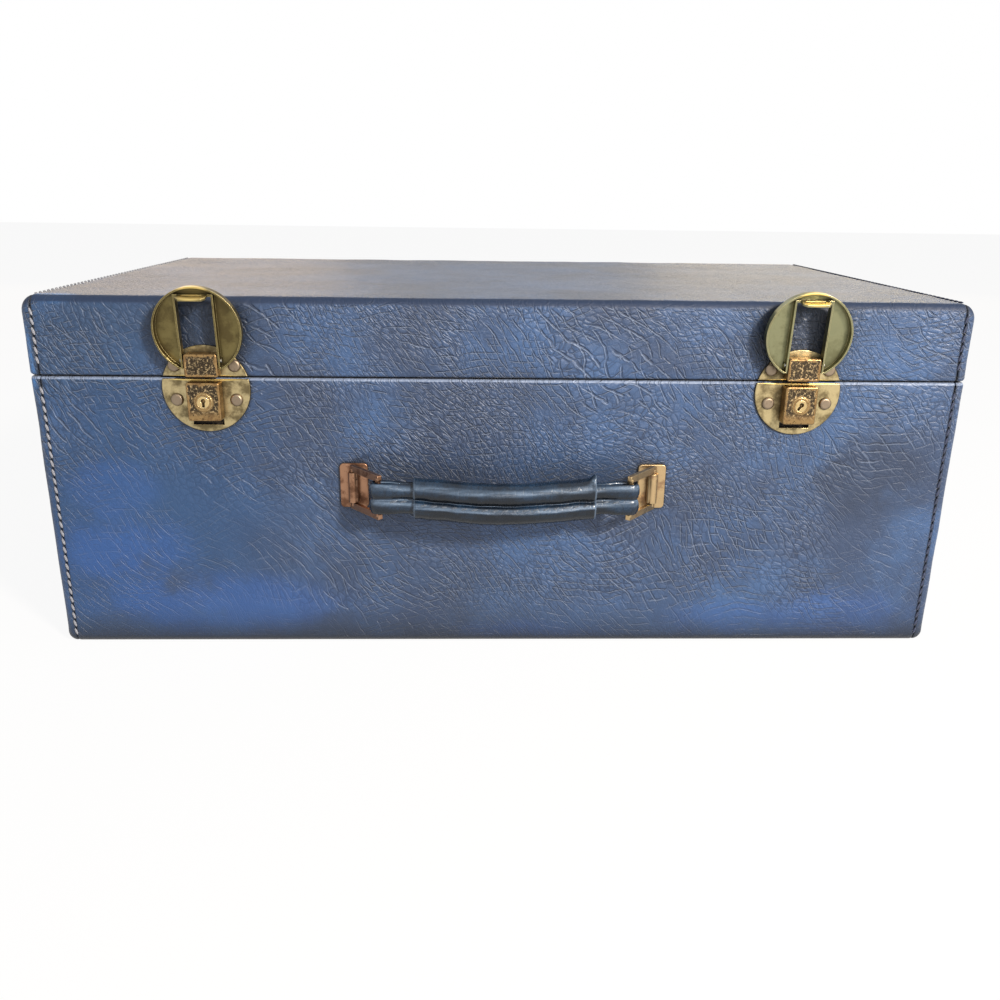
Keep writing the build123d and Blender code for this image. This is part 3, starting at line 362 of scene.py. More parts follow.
def metalNodes(add, look, place):
    # colour, roughness, pits, specks and rounded normal that all the metals share
    blotch = blotches(add, place, look["blotchMm"], detail=5.0, roughness=0.65)
    speck = blotches(add, place, look["speckMm"], roughness=0.6)
    share, specks = look["share"], look["specks"]
    dulled = add("MapRange", (blotch, 0.72 - share * 0.55, 0.84 - share * 0.4), **eased)
    pitted = add("MapRange", (speck, 0.75 - specks, 0.8 - specks * 0.9), **eased)
    rounded = add("Bevel", {"Radius": metalWearAndLight["edgeMm"] * mm}, samples=6)
    edge = add("VectorMath", (rounded, add("NewGeometry", output="Normal")), "Value", operation="DOT_PRODUCT")
    edge = add("Math", (add("MapRange", (edge, 0.995, 0.9), **eased),
                        add("MapRange", (speck, 0.35, 0.5, 0.5, 1), **eased)), **times)
    # painted shade in the crevices, in the pit colour, from occlusion
    exposed = add("AmbientOcclusion", {"Distance": metalWearAndLight["creviceShadeMm"] * mm}, "AO", samples=6)
    colour = paint(add, look["metal"], (dulled, look["tarnish"]), (pitted, look["pit"]), (edge, look["edge"]),
                   (add("MapRange", (exposed, 0.85, 0.35, 0, 0.75), **eased), look["pit"]))
    rough = add("MapRange", (blotch, 0.3, 0.7, look["roughness"] - 0.05, look["roughness"] + 0.14), **eased)
    return colour, rough, pitted, speck, rounded


def makeMetal(name, look, wearAndHighlightSpot=None):
    material, add = newMaterial(name)
    place = add("TexCoord", output="Object")
    colour, rough, pitted, speck, rounded = metalNodes(add, look, place)
    # a pale spot: rubbed metal on the hasps' tabs, and a painted highlight along the plates' seam edge
    if wearAndHighlightSpot:
        rubbed = add("MapRange", (softSpot(add, place, *wearAndHighlightSpot), 0.05, 0.3), **eased)
        colour = paint(add, colour, (rubbed, metalWearAndLight["rubbed"]))
    height = add("Math", (add("Math", (speck, 0.15), **times), pitted), **minus)
    bump = add("Bump", {"Height": height, "Strength": 0.35, "Distance": metalWearAndLight["pitDepthMm"] * mm,
                        "Normal": rounded})
    add("OutputMaterial", {"Surface": add("BsdfPrincipled", {
        "Base Color": colour, "Roughness": rough, "Metallic": 1.0, "Normal": bump})})
    return material


# The pressed boxes: bright along their edges, with the face worn down to dark pitted metal
wornBox = {"metal": "#a38458", "tarnish": "#806443", "pit": "#2f271e", "edge": "#f2d9a0", "roughness": 0.3,
           "share": 0.5, "blotchMm": 5, "speckMm": 0.8, "specks": 0.15,
           "darkPit": "#3d352b", "bareMetal": "#c4ab80", "rimMm": 1.1, "pitMm": 1.3, "raggedMm": 3.2,
           "raggedReach": 4.5, "depthMm": 0.25, "roughened": 0.18,
           "bracket": {"centre": (-140.4, 149.25), "halfSize": (8, 5.55), "plugRadius": 0},
           "housing": {"centre": (-140.4, 131.7), "halfSize": (8, 9.4), "plugRadius": 4.3}}


def makeWornBox(name, look, side, box):
    material, add = newMaterial(name)
    place = add("TexCoord", output="Object")
    colour, rough, pitted, speck, rounded = metalNodes(add, look, place)
    (y, z), (halfX, halfZ), clear = box["centre"], box["halfSize"], box["plugRadius"]
    inside = [add("Math", (half * mm, fromPlane(add, place, axis, at)), **minus)
              for axis, at, half in (("X", side * latchX, halfX), ("Z", z, halfZ))]
    inside = add("Math", inside, operation="MINIMUM")
    ragged = blotches(add, place, look["raggedMm"], detail=4.0, roughness=0.75)
    ragged = add("Math", (ragged, 0.52), **minus)
    ragged = add("Math", (ragged, look["raggedReach"] * mm), **times)
    rim = look["rimMm"] * mm
    inside = add("Math", (inside, ragged), operation="ADD")
    limits = [add("MapRange", (inside, rim * 0.7, rim * 1.25), **eased),
              add("MapRange", (add("SeparateXYZ", (place,), "Y"), (y + 0.5) * mm, (y + 0.1) * mm), **eased)]
    if clear:
        # less wear towards the bottom, where the hasp doesn't rub, and none round the plug
        bottom = z - halfZ
        limits.append(add("MapRange", (add("SeparateXYZ", (place,), "Z"), (bottom + 1) * mm, (bottom + 6) * mm),
                          **eased))
        centre = (side * latchX * mm, y * mm, z * mm)
        fromPlug = add("VectorMath", (place, centre), "Value", operation="DISTANCE")
        limits.append(add("MapRange", (fromPlug, clear * mm, (clear + 0.8) * mm), **eased))
    worn = limits[0]
    for limit in limits[1:]:
        worn = add("Math", (worn, limit), **times)
    mottle = blotches(add, place, look["pitMm"], detail=4.0, roughness=0.75)
    bare = paint(add, look["darkPit"], (add("MapRange", (mottle, 0.5, 0.66), **eased), look["bareMetal"]))
    colour = paint(add, colour, (worn, bare))
    height = add("Math", (worn, add("Math", (mottle, 0.9), **minus)), **times)
    bump = add("Bump", {"Height": height, "Strength": 0.8, "Distance": look["depthMm"] * mm, "Normal": rounded})
    rough = add("Math", (rough, add("Math", (worn, look["roughened"]), **times)), operation="ADD")
    add("OutputMaterial", {"Surface": add("BsdfPrincipled", {
        "Base Color": colour, "Roughness": rough, "Metallic": 1.0, "Normal": bump})})
    return material


# Waxed linen thread: soft, slightly fibrous and dull
threads = {"fibreMm": 0.6, "depthMm": 0.1, "roughness": 0.75,
           "waxed": ("#626c79", "#353e4b"), "rubbed": ("#979aa3", "#6f727c"), "dyed": ("#2c3757", "#161d30")}


def makeThread(name, colour, shadow):
    material, add = newMaterial(name)
    place = add("TexCoord", output="Object")
    fibre = blotches(add, place, threads["fibreMm"], roughness=0.7)
    tone = paint(add, shadow, (add("MapRange", (fibre, 0.35, 0.65), **eased), colour))
    bump = add("Bump", {"Height": fibre, "Strength": 0.5, "Distance": threads["depthMm"] * mm})
    add("OutputMaterial", {"Surface": add("BsdfPrincipled", {
        "Base Color": tone, "Roughness": threads["roughness"], "Normal": bump, "Sheen Weight": 0.2})})
    return material


# Plain-woven cotton lining, drawn 1.1 mm a thread so that the weave shows from a step away
cottonLining = {"threadMm": 1.1, "ageMm": 40, "faded": "#8a8271", "cotton": "#989080", "weaveShade": "#5d5649",
                "depthMm": 0.15, "roughness": 0.9}


def makeLining(name, look):
    material, add = newMaterial(name)
    place = add("TexCoord", output="Object")
    weave = [add("TexWave", {"Vector": place, "Scale": 1 / (look["threadMm"] * mm) / 3.2, "Distortion": 0.6,
                             "Detail": 1.0}, "Fac", bands_direction=direction) for direction in "XYZ"]
    height = add("Math", (add("Math", weave[:2], operation="ADD"), weave[2]), **times)
    age = blotches(add, place, look["ageMm"], 0.3, 0.7, detail=5.0, roughness=0.6)
    # the weave's hollows get painted shade
    colour = paint(add, look["faded"], (age, look["cotton"]),
                   (add("MapRange", (height, 0, 1.2, 0.25, 0), **eased), look["weaveShade"]))
    bump = add("Bump", {"Height": height, "Strength": 0.4, "Distance": look["depthMm"] * mm})
    add("OutputMaterial", {"Surface": add("BsdfPrincipled", {
        "Base Color": colour, "Roughness": look["roughness"], "Normal": bump, "Sheen Weight": 0.3})})
    return material


# Bare plywood board: pale face veneer with long grain, painted dark as shade in the gap between the halves
plywood = {"wood": "#a98358", "pale": "#cfae80", "gap": "#1d150c", "grainMm": (60, 4, 4), "gapShadeMm": 8,
           "depthMm": 0.2, "roughness": 0.65}


def makeBoard(name, look):
    material, add = newMaterial(name)
    place = add("TexCoord", output="Object")
    stretched = add("Mapping", {"Vector": place, "Scale": [s * mm for s in look["grainMm"]]}, **textured)
    grain = add("TexNoise", {"Vector": stretched, "Scale": 1, "Detail": 6.0, "Roughness": 0.6})
    # painted shade where the board is hemmed in, darkest in the gap between the halves
    exposed = add("AmbientOcclusion", {"Distance": look["gapShadeMm"] * mm}, "AO", samples=4)
    colour = paint(add, look["wood"], (add("MapRange", (grain, 0.35, 0.65), **eased), look["pale"]),
                   (add("MapRange", (exposed, 0.9, 0.4), **eased), look["gap"]))
    bump = add("Bump", {"Height": grain, "Strength": 0.3, "Distance": look["depthMm"] * mm})
    add("OutputMaterial", {"Surface": add("BsdfPrincipled", {
        "Base Color": colour, "Roughness": look["roughness"], "Normal": bump})})
    return material


def wearAndHighlightSpotOn(side, spot):
    # a pale spot on one side's latch: rubbed on the hasp's tab, and a painted highlight along the plates' seam
    # edge
    y, z, reach = metalWearAndLight[spot]
    return (side * latchX, y, z), reach


caseLeatherMaterial = makeCaseLeather("waxedGrainLeather", caseLeather)
gripLeatherMaterial = makeGripLeather("polishedGripLeather", gripLeather)
plateMaterials = {"left": makeMetal("leftLacqueredBrass", plateBrass, wearAndHighlightSpotOn(-1, "seamHighlight")),
                  "right": makeMetal("rightLacqueredBrass", plateBrass, wearAndHighlightSpotOn(1, "seamHighlight"))}
haspMaterials = {"left": makeMetal("oliveBrass", oliveBrass, wearAndHighlightSpotOn(-1, "tabSpot")),
                 "right": makeMetal("greyBrass", greyBrass, wearAndHighlightSpotOn(1, "tabSpot"))}
fittingMaterials = {"left": makeMetal("copperyBrass", copperyBrass),
                    "right": makeMetal("goldenBrass", goldenBrass)}
plugMaterial = makeMetal("turnedBrass", plugBrass)
rivetMaterial = makeMetal("rivetBrass", rivetBrass)
hingeMaterial = makeMetal("hingeBrass", hingeBrass)
steelMaterial = makeMetal("turnedSteel", turnedSteel)
gripThread, paleThread, darkThread = [makeThread(kind + "Thread", *threads[kind])
                                      for kind in ("waxed", "rubbed", "dyed")]
liningMaterial = makeLining("cottonLining", cottonLining)
boardMaterial = makeBoard("plywoodBoard", plywood)
print("materials made")


def meshFrom(name, bm, material):
    mesh = bpy.data.meshes.new(name)
    bm.to_mesh(mesh)
    bm.free()
    mesh.materials.append(material)
    return mesh


def addPiece(name, bm, material, body):
    mesh = meshFrom(name, bm, material)
    mesh.polygons.foreach_set("use_smooth", [True] * len(mesh.polygons))
    piece = newObject(name, mesh)
    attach(piece, body)
    return piece


def thicken(piece, thickness):
    wall = piece.modifiers.new("thickness", "SOLIDIFY")
    wall.thickness = thickness * mm
    wall.offset = -1


# The leather covers. Each half is one bevelled box that turns in over its rim, cut into a wrap and two end panels
caseSize = {"width": 460, "depth": 266, "edgeRadius": 4.5, "rimRadius": 1.6, "rimInset": 6.2, "turnIn": 9.2,
            "leather": 1.2, "cornerSteps": 8, "edgeSteps": 6, "rimSteps": 4,
            "cuts": ((0, 230, 9.2), (1, 133, 9.5), (2, 181, 9.0))}  # axis, reach and step
seamGroove = {"gap": 0.06, "lip": 1.1, "shoulder": 0.45, "sink": 0.55}
haspSlot = {"half": 7.55, "low": 119.1, "high": 122.04, "frontY": -132}
puckers = {"height": 0.28, "rimFade": 14, "footFade": 12, "coarse": 38, "fine": 90, "fineShare": 0.5,
           "fineShift": (3, 1, 7), "sink": 0.55}
halves = {
    "base": {"rim": 142.25, "far": 0, "cornerRadius": 5.5, "body": "case",
             "wrapNodes": ["base_bottom_leather", "base_front_leather", "base_back_leather"]},
    "lid": {"rim": 142.75, "far": 181, "cornerRadius": 8, "body": "lid", "wrapNodes": ["lid_wrap_leather"]},
}
near, loose = 1e-6, 1e-5  # metres: for points on a plane, and for cuts through rounded corners


def bevelEdges(bm, edges, offset, segments):
    bmesh.ops.bevel(bm, geom=edges, offset=offset * mm, segments=segments, profile=0.5, affect="EDGES",
                    material=-1, clamp_overlap=True)


def cutAcross(bm, place, direction, dist=near, **clearing):
    bmesh.ops.bisect_plane(bm, geom=bm.verts[:] + bm.edges[:] + bm.faces[:], dist=dist, plane_co=place,
                           plane_no=direction, **clearing)


def liesAt(edge, axis, place):
    return all(abs(vert.co[axis] - place) < near for vert in edge.verts)


def runsAlong(edge, axis):
    return abs((edge.verts[0].co - edge.verts[1].co).normalized()[axis]) > 0.99


def faceAt(bm, height):
    level = [face for face in bm.faces if abs(face.calc_center_median().z - height) < near]
    return max(level, key=lambda face: face.calc_area())


def makeHalfShell(half):
    bm = bmesh.new()
    low, high = sorted((half["rim"], half["far"]))
    centre = Matrix.Translation((0, 0, (high + low) / 2 * mm))
    size = Matrix.Diagonal((caseSize["width"] * mm, caseSize["depth"] * mm, (high - low) * mm, 1))
    bmesh.ops.create_cube(bm, size=1, matrix=centre @ size)
    rim, far, faceY = half["rim"] * mm, half["far"] * mm, caseSize["depth"] / 2 * mm
    corners = [e for e in bm.edges if liesAt(e, 2, far) and runsAlong(e, 1)]
    bevelEdges(bm, corners, half["cornerRadius"], caseSize["cornerSteps"])
    outline = [e for e in bm.edges if (liesAt(e, 1, faceY) or liesAt(e, 1, -faceY)) and not liesAt(e, 2, rim)]
    bevelEdges(bm, outline, caseSize["edgeRadius"], caseSize["edgeSteps"])
    bevelEdges(bm, list(faceAt(bm, rim).edges), caseSize["rimRadius"], caseSize["rimSteps"])
    rimFace = faceAt(bm, rim)
    bmesh.ops.inset_region(bm, faces=[rimFace], thickness=caseSize["rimInset"] * mm)
    inner = bmesh.ops.extrude_discrete_faces(bm, faces=[rimFace])["faces"]
    towards = -1 if half["far"] < half["rim"] else 1
    bmesh.ops.translate(bm, verts=inner[0].verts, vec=(0, 0, towards * caseSize["turnIn"] * mm))
    bmesh.ops.delete(bm, geom=inner, context="FACES_ONLY")
    # cross cuts give the hide enough points to pucker
    for axis, limit, step in caseSize["cuts"]:
        direction = Vector([axis == i for i in range(3)])
        for count in range(int(-limit / step), int(limit / step) + 1):
            cutAcross(bm, direction * count * step * mm, direction, dist=loose)
    bmesh.ops.remove_doubles(bm, verts=bm.verts, dist=2 * loose)
    bmesh.ops.recalc_face_normals(bm, faces=bm.faces)
    return bm


def pucker(bm, rim):
    # the hide isn't flat: it swells and sinks by a quarter of a millimetre, but not at its rim or its foot
    bm.normal_update()
    for vert in bm.verts:
        fade = min(1, abs(vert.co.z - rim * mm) / (puckers["rimFade"] * mm))
        fade *= min(1, max(0, vert.co.z) / (puckers["footFade"] * mm))
        swell = noise.noise(vert.co * puckers["coarse"])
        swell += puckers["fineShare"] * noise.noise(vert.co * puckers["fine"] + Vector(puckers["fineShift"]))
        vert.co += vert.normal * (swell - puckers["sink"]) * puckers["height"] * mm * fade


def sheetFromShell(shell, low, high):
    # keeps the part of a half shell between two X values, with a rolled lip at each cut
    bm = shell.copy()
    lip = seamGroove["lip"]
    for limit, side in ((low, -1), (high, 1)):
        if abs(limit) > caseSize["width"] / 2:
            continue
        for depth in (lip, lip * seamGroove["shoulder"]):
            cutAcross(bm, ((limit - side * depth) * mm, 0, 0), (1, 0, 0))
        cutAcross(bm, (limit * mm, 0, 0), (side, 0, 0), clear_outer=True)
    bm.normal_update()
    for vert in bm.verts:
        reach = min(abs(vert.co.x - low * mm), abs(vert.co.x - high * mm)) / (lip * mm)
        if reach < 1 and vert.co.z > 0:
            vert.co -= vert.normal * seamGroove["sink"] * mm * (1 - math.sqrt(max(0, 1 - (1 - reach) ** 2)))
    return bm


def cutSlots(bm, slot):
    # the hasps' tabs go through the leather behind the lock plates
    lowZ, highZ = slot["low"] * mm, slot["high"] * mm
    for side in (-1, 1):
        lowX, highX = (side * latchX - slot["half"]) * mm, (side * latchX + slot["half"]) * mm
        for axis, at in ((0, lowX), (0, highX), (2, lowZ), (2, highZ)):
            direction = Vector([axis == i for i in range(3)])
            cutAcross(bm, direction * at, direction)
        middles = [(face, face.calc_center_median()) for face in bm.faces]
        inside = [face for face, at in middles
                  if at.y < slot["frontY"] * mm and lowX < at.x < highX and lowZ < at.z < highZ]
        bmesh.ops.delete(bm, geom=inside, context="FACES")


for halfName, half in halves.items():
    shell = makeHalfShell(half)
    pucker(shell, half["rim"])
    inner, outer, beyond = seamX - seamGroove["gap"], seamX + seamGroove["gap"], caseSize["width"]
    cuts = {"Wrap": (-inner, inner), "LeftEnd": (-beyond, -outer), "RightEnd": (outer, beyond)}
    for part, (low, high) in cuts.items():
        sheet = sheetFromShell(shell, low, high)
        if halfName == "base" and part == "Wrap":
            cutSlots(sheet, haspSlot)
        piece = addPiece(halfName + part + "Leather", sheet, caseLeatherMaterial, half["body"])
        thicken(piece, caseSize["leather"])
        side = part.replace("End", "").lower()
        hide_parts(*(half["wrapNodes"] if part == "Wrap" else [f"{halfName}_{side}_end_leather"]))
    shell.free()
print("leather covers made")


# Saddle stitches along the end panels, on every face that the seam crosses, each of a length, width and height
stitching = {"pitch": 4.6, "size": (3.9, 1.4, 0.5), "lean": 16, "sunk": 0.2, "fromRim": 3.5, "fromFar": 4.0,
             "fromCorner": 5, "segments": (8, 5)}


def addStitch(bm, centre, along, outward, lean, size):
    turned = (Matrix.Rotation(math.radians(lean), 3, outward) @ along).normalized()
    axes = Matrix((turned, outward.cross(turned), outward)).transposed().to_4x4()
    shape = Matrix.Diagonal((size[0] / 2 * mm, size[1] / 2 * mm, size[2] * mm, 1))
    around, rings = stitching["segments"]
    place = Matrix.Translation(centre) @ axes @ shape @ Matrix.Rotation(math.pi / 2, 4, "Y")
    bmesh.ops.create_uvsphere(bm, u_segments=around, v_segments=rings, radius=1, matrix=place)


def stitchRun(bm, start, end, outward, lean):
    start, end, outward = Vector(start) * mm, Vector(end) * mm, Vector(outward)
    pitch, direction = stitching["pitch"] * mm, (end - start).normalized()
    count = int((end - start).length / pitch)
    first = start + direction * ((end - start).length - (count - 1) * pitch) / 2
    for index in range(count):
        spot = first + direction * index * pitch
        addStitch(bm, spot + outward * -stitching["sunk"] * mm, direction, outward, lean, stitching["size"])


for halfName, half in halves.items():
    for sideName, side in (("Left", -1), ("Right", 1)):
        bm = bmesh.new()
        x, y = side * seamX, caseSize["depth"] / 2
        lowZ, highZ = sorted((half["rim"], half["far"]))
        lowZ, highZ = lowZ + stitching["fromRim"], highZ - stitching["fromFar"]
        for faceSide in (-1, 1):
            stitchRun(bm, (x, faceSide * y, lowZ), (x, faceSide * y, highZ), (0, faceSide, 0),
                      side * faceSide * stitching["lean"])
        if halfName == "lid":
            y -= stitching["fromCorner"]
            stitchRun(bm, (x, -y, half["far"]), (x, y, half["far"]), (0, 0, 1), stitching["lean"])
        addPiece(f"{halfName}{sideName}Stitches", bm, paleThread if side < 0 else darkThread, half["body"])
print("stitches made")


# Linings: trays that follow the boards, with soft corners
liningSize = {"x": 222.75, "y": 125.75, "thick": 0.6, "corner": 0.9, "cornerSteps": 3,
              "trays": (("baseLining", 7.25, 133.0, "case", "base_lining"),
                        ("lidLining", 173.75, 152.0, "lid", "lid_lining"))}  # closed end, open end, body and node


def makeLiningTray(name, closed, openEnd, body, node):
    bm = bmesh.new()
    low, high = sorted((closed, openEnd))
    centre = Matrix.Translation((0, 0, (low + high) / 2 * mm))
    size = Matrix.Diagonal((2 * liningSize["x"] * mm, 2 * liningSize["y"] * mm, (high - low) * mm, 1))
    bmesh.ops.create_cube(bm, size=1, matrix=centre @ size)
    bmesh.ops.delete(bm, geom=[faceAt(bm, openEnd * mm)], context="FACES_ONLY")
    corners = [e for e in bm.edges if not liesAt(e, 2, openEnd * mm)]
    bevelEdges(bm, corners, liningSize["corner"], liningSize["cornerSteps"])
    bmesh.ops.recalc_face_normals(bm, faces=bm.faces)
    tray = addPiece(name, bm, liningMaterial, body)
    thicken(tray, liningSize["thick"])
    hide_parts(node)


for tray in liningSize["trays"]:
    makeLiningTray(*tray)
print("linings made")


# Handle: a strap of two cords whose ends loop round the rings' bars, in a sleeve with a lapped and stitched seam.
# wobble is how fine the unevenness of the leather is, and how high
grip = {"y": -153.27, "z": 88.2, "bow": 3.4, "sag": 2.3, "reach": 57, "barX": 61.38}
strapShape = {"tall": 7.7, "inside": 0.12, "cordOverlap": 0.12, "loopInside": 2.05, "loopWall": 0.75,
              "closing": (50, 55), "cord": 1.6, "cordGrowth": 1.5, "outerShare": 0.7, "innerTall": 0.97,
              "runSteps": 44, "bendSteps": 20, "around": 40, "wobble": ((220, 0.16),)}
sleeveShape = {"half": 44.0, "rollRadius": 5.75, "rollOffset": 4.6, "skin": 0.9, "flare": 0.22,
               "lap": 0.5, "lapEdge": (-0.4, -0.9), "lapFoot": (-5.5, -3.5),
               # one corner of the right end has come up: where it is, its reach and how far it moved
               "liftTop": 10, "liftFront": (-3, 1), "liftReach": (2.4, 2.6), "liftBy": (-0.6, -0.8, 2.8),
               "around": 96, "along": 60, "wobble": ((120, 0.3), (400, 0.08))}
gripStitching = {"pitch": 4.9, "size": (3.4, 0.9, 0.4), "lean": 14, "reach": 57, "hem": 1.5, "strapHem": 2,
                 "sleeveZ": -1.7, "strapZ": -1.1, "outward": (0, -1, 0.25)}


def smooth(value, start, end):
    share = max(0.0, min(1.0, (value - start) / (end - start)))
    return share * share * (3 - 2 * share)


def gripPlace(x, y, z):
    # from the straight grip to the real one, bowed out and sagging between its rings
    curve = (1 + math.cos(math.pi * min(1.0, abs(x) / grip["reach"]))) / 2
    return Vector((x, grip["y"] + y - grip["bow"] * curve, grip["z"] + z - grip["sag"] * curve)) * mm


def strapFaces(x, z):
    # how far the strap's two faces are from the middle of its loop: two cords swell the outer one
    closing = smooth(abs(x), *strapShape["closing"])
    inner = strapShape["inside"] + (strapShape["loopInside"] - strapShape["inside"]) * closing
    across = (abs(z) - strapShape["tall"] / 2) / (strapShape["tall"] / 2 + strapShape["cordOverlap"])
    cord = strapShape["cord"] + strapShape["cordGrowth"] * (1 - closing)
    return inner, inner + strapShape["loopWall"] + cord * math.sqrt(max(0.0, 1 - across * across))


def strapPoint(turn, section):
    # turn goes once round the loop, whose second half is its first one turned about, and section round the strap
    run, bend = strapShape["runSteps"], strapShape["bendSteps"]
    half, step = divmod(turn * 2 * (run + bend), run + bend)
    if step < run:
        spot, outward = Vector((grip["barX"] * (2 * step / run - 1), 0)), Vector((0, -1))
    else:
        angle = math.pi * ((step - run) / bend - 0.5)
        spot, outward = Vector((grip["barX"], 0)), Vector((math.cos(angle), math.sin(angle)))
    if half == 1:
        spot, outward = -spot, -outward
    share = strapShape["outerShare"]
    if section < share:
        z = strapShape["tall"] * math.cos(math.pi * section / share)
        away = strapFaces(spot.x, z)[1]
    else:
        z = -strapShape["tall"] * strapShape["innerTall"] * math.cos(math.pi * (section - share) / (1 - share))
        away = strapFaces(spot.x, z)[0]
    spot = spot + outward * away
    return gripPlace(spot.x, spot.y, z)


def finishGripPart(name, bm, wobble):
    for vert in bm.verts:
        uneven = sum(noise.noise(vert.co * fineness) * height for fineness, height in wobble)
        vert.co += Vector((0, 1, 1)) * uneven * mm
    bmesh.ops.recalc_face_normals(bm, faces=bm.faces)
    return addPiece(name, bm, gripLeatherMaterial, "handle")


bm = bmesh.new()
ringRadius = 3
bmesh.ops.create_circle(bm, segments=strapShape["around"], radius=1,
                        matrix=Matrix.Translation((ringRadius, 0, 0)) @ Matrix.Rotation(math.pi / 2, 4, "X"))
bmesh.ops.spin(bm, geom=bm.verts[:] + bm.edges[:], cent=(0, 0, 0), axis=(0, 0, 1), angle=2 * math.pi,
               steps=2 * (strapShape["runSteps"] + strapShape["bendSteps"]), use_merge=True)
for vert in bm.verts:
    turn = math.atan2(vert.co.y, vert.co.x) / (2 * math.pi) % 1.0
    section = math.atan2(vert.co.z, math.hypot(vert.co.x, vert.co.y) - ringRadius) / (2 * math.pi) % 1.0
    vert.co = strapPoint(turn, section)
strap = finishGripPart("handleStrap", bm, strapShape["wobble"])
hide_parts("handle_strap")


def sleevePoint(angle, x):
    # outline of two rolls with a lap over the lower one, whose edge stands up in the valley
    radius, offset, fromEnd = sleeveShape["rollRadius"], sleeveShape["rollOffset"], sleeveShape["half"] - abs(x)
    away = offset * abs(math.sin(angle)) + math.sqrt(radius ** 2 - (offset * math.cos(angle)) ** 2)
    away += sleeveShape["flare"] * math.exp(-fromEnd ** 2)
    y, z = away * math.cos(angle), away * math.sin(angle)
    if y < 0:
        y -= sleeveShape["lap"] * smooth(z, *sleeveShape["lapEdge"]) * smooth(z, *sleeveShape["lapFoot"])
    reachX, reachZ = sleeveShape["liftReach"]
    lift = math.exp(-((sleeveShape["half"] - x) / reachX) ** 2) * smooth(-y, *sleeveShape["liftFront"])
    lift *= math.exp(-((z - sleeveShape["liftTop"]) / reachZ) ** 2)
    return gripPlace(*(at + lift * by for at, by in zip((x, y, z), sleeveShape["liftBy"])))


bm = bmesh.new()
bmesh.ops.create_cone(bm, cap_ends=False, segments=sleeveShape["around"], radius1=1, radius2=1, depth=2,
                      matrix=Matrix.Rotation(math.pi / 2, 4, "Y"))
lengthways = [e for e in bm.edges if abs(e.verts[0].co.x - e.verts[1].co.x) > 1]
bmesh.ops.subdivide_edges(bm, edges=lengthways, cuts=sleeveShape["along"], use_grid_fill=True)
for vert in bm.verts:
    vert.co = sleevePoint(math.atan2(vert.co.z, vert.co.y), vert.co.x * sleeveShape["half"])
sleeve = finishGripPart("gripSleeve", bm, sleeveShape["wobble"])
thicken(sleeve, sleeveShape["skin"])
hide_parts("grip_sleeve")

bm = bmesh.new()
count = int(2 * grip["barX"] / gripStitching["pitch"])
for index in range(count):
    x = (index - (count - 1) / 2) * gripStitching["pitch"]
    onSleeve = abs(x) < sleeveShape["half"] - gripStitching["hem"]
    onStrap = sleeveShape["half"] + gripStitching["strapHem"] <= abs(x) <= gripStitching["reach"]
    if onSleeve:
        z = gripStitching["sleeveZ"]
        roll = math.sqrt(sleeveShape["rollRadius"] ** 2 - (abs(z) - sleeveShape["rollOffset"]) ** 2)
        y = -(roll + sleeveShape["lap"])
    elif onStrap:
        z = gripStitching["strapZ"]
        y = -strapFaces(x, z)[1]
    else:
        continue
    along = (gripPlace(x + 1, y, z) - gripPlace(x - 1, y, z)).normalized()
    outward = Vector(gripStitching["outward"]).normalized()
    outward = (outward - along * outward.dot(along)).normalized()
    addStitch(bm, gripPlace(x, y, z), along, outward, gripStitching["lean"], gripStitching["size"])
addPiece("gripStitches", bm, gripThread, "handle")
print("handle made")


# Carried-over nodes get their finish
def dressNodes(finishes, start=""):
    for material, names in finishes.items():
        for name in names:
            slots = nodes[start + name].data.materials
            slots.clear()
            slots.append(material)


for sideName, side in (("left", -1), ("right", 1)):
    dressNodes({
        plateMaterials[sideName]: ("hasp_plate", "lock_plate"),
        haspMaterials[sideName]: ("hasp",),
        fittingMaterials[sideName]: ("handle_mount", "handle_ring"),
        makeWornBox(f"{sideName}WornBracket", wornBox, side, wornBox["bracket"]): ("hasp_bracket",),
        makeWornBox(f"{sideName}WornHousing", wornBox, side, wornBox["housing"]): ("lock_housing",),
        plugMaterial: ("lock_plug",),
        steelMaterial: ("hasp_pin", "lock_bolt", "hinge_pin"),
        hingeMaterial: ("hinge_base_leaf", "hinge_lid_leaf", "stay_arm", "stay_base_stud", "stay_lid_stud"),
    }, f"{sideName}_")
dressNodes({
    rivetMaterial: ("lock_rivets", "hasp_rivets"),
    hingeMaterial: ("base_hinge_rivets", "lid_hinge_rivets"),
    steelMaterial: ("handle_clinch_plates",),
    boardMaterial: [f"{halfName}_{board}_board" for halfName, flatBoard in (("base", "bottom"), ("lid", "top"))
                    for board in (flatBoard, "front", "back", "left", "right")],
})
print("nodes dressed")


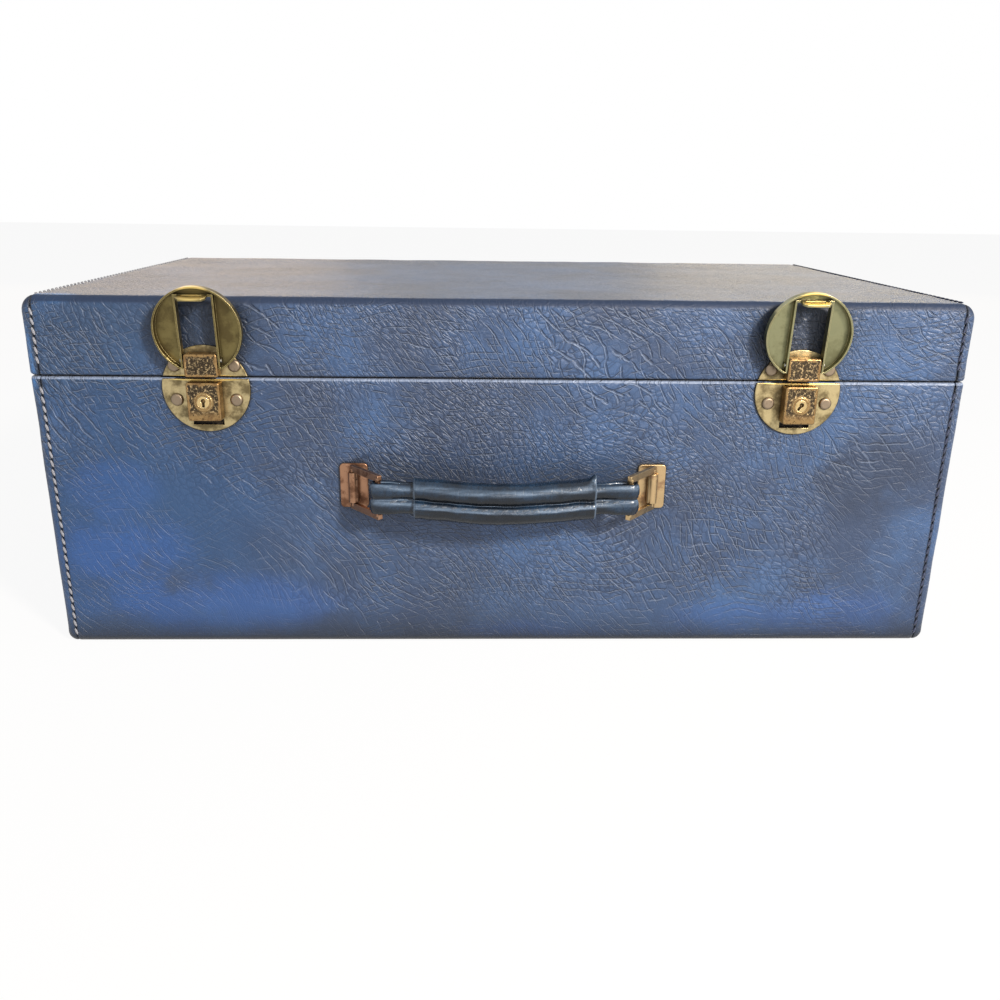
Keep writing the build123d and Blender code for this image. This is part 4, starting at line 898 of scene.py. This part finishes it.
# Studio: a pale floor, a white surround, a key lamp at the upper right and low lamps behind for the top's sheen
studio = {"surround": 1.0, "ambient": 0.18, "floor": "#f4f4f4", "floorHalf": 6, "floorDrop": 0.2, "glow": 0.93}
lamps = {
    "keyLamp": {"place": (0.9, -1.3, 0.95), "size": (0.2, 0.2), "watts": 46, "colour": "#fff4e6",
                "at": (0.02, -0.12, 0.09)},
    "stripLamp": {"place": (0.6, -1.7, 0.62), "size": (1.4, 0.1), "watts": 7, "colour": "#fbfaff",
                  "at": (0, -0.1, 0.1)},
    "leftBackLamp": {"place": (-0.75, 1.9, 0.6), "size": (0.8, 0.7), "watts": 3.5, "colour": "#ffdcae",
                     "at": (0, 0, 0.18)},
    "rightBackLamp": {"place": (0.85, 1.9, 0.6), "size": (0.8, 0.7), "watts": 4.2, "colour": "#ffe6b4",
                      "at": (0, 0, 0.18)},
}


def showsBackground(add):
    # 1 for the rays that see the background: the camera's, and those mirrored or let through to it
    mirrored, through, camera = [add("LightPath", output=f"Is {kind} Ray")
                                 for kind in ("Glossy", "Transmission", "Camera")]
    seen = add("Math", (mirrored, through), operation="MAXIMUM")
    return add("Math", (camera, seen), operation="MAXIMUM")


def makeWorld():
    world = bpy.data.worlds.new("studio")
    bpy.context.scene.world = world
    world.use_nodes = True
    world.node_tree.nodes.clear()
    add = partial(addNode, world.node_tree)
    white, soft = [add("Background", {"Color": "#ffffff", "Strength": studio[part]})
                   for part in ("surround", "ambient")]
    add("OutputWorld", {"Surface": add("MixShader", (showsBackground(add), soft, white))})


def makeFloor():
    material, add = newMaterial("paleFloor")
    matt = add("BsdfDiffuse", {"Color": studio["floor"]})
    glow = add("Emission", {"Color": "#ffffff", "Strength": 1.0})
    share = add("Math", (showsBackground(add), studio["glow"]), **times)
    add("OutputMaterial", {"Surface": add("MixShader", (share, matt, glow))})
    bm = bmesh.new()
    bmesh.ops.create_grid(bm, x_segments=1, y_segments=1, size=studio["floorHalf"],
                          matrix=Matrix.Translation((0, 0, -studio["floorDrop"] * mm)))
    newObject("floor", meshFrom("floor", bm, material))


def makeLamp(name, lamp):
    data = bpy.data.lights.new(name, "AREA")
    data.shape = "RECTANGLE"
    data.size, data.size_y = lamp["size"]
    data.energy = lamp["watts"]
    data.color = hexColour(lamp["colour"])[:3]
    light = newObject(name, data)
    light.location = lamp["place"]
    light.rotation_euler = (Vector(lamp["at"]) - light.location).to_track_quat("-Z", "Y").to_euler()
    light.visible_camera = False


makeWorld()
makeFloor()
for name, lamp in lamps.items():
    makeLamp(name, lamp)
bpy.context.scene.view_settings.view_transform = "Standard"
print("studio made")
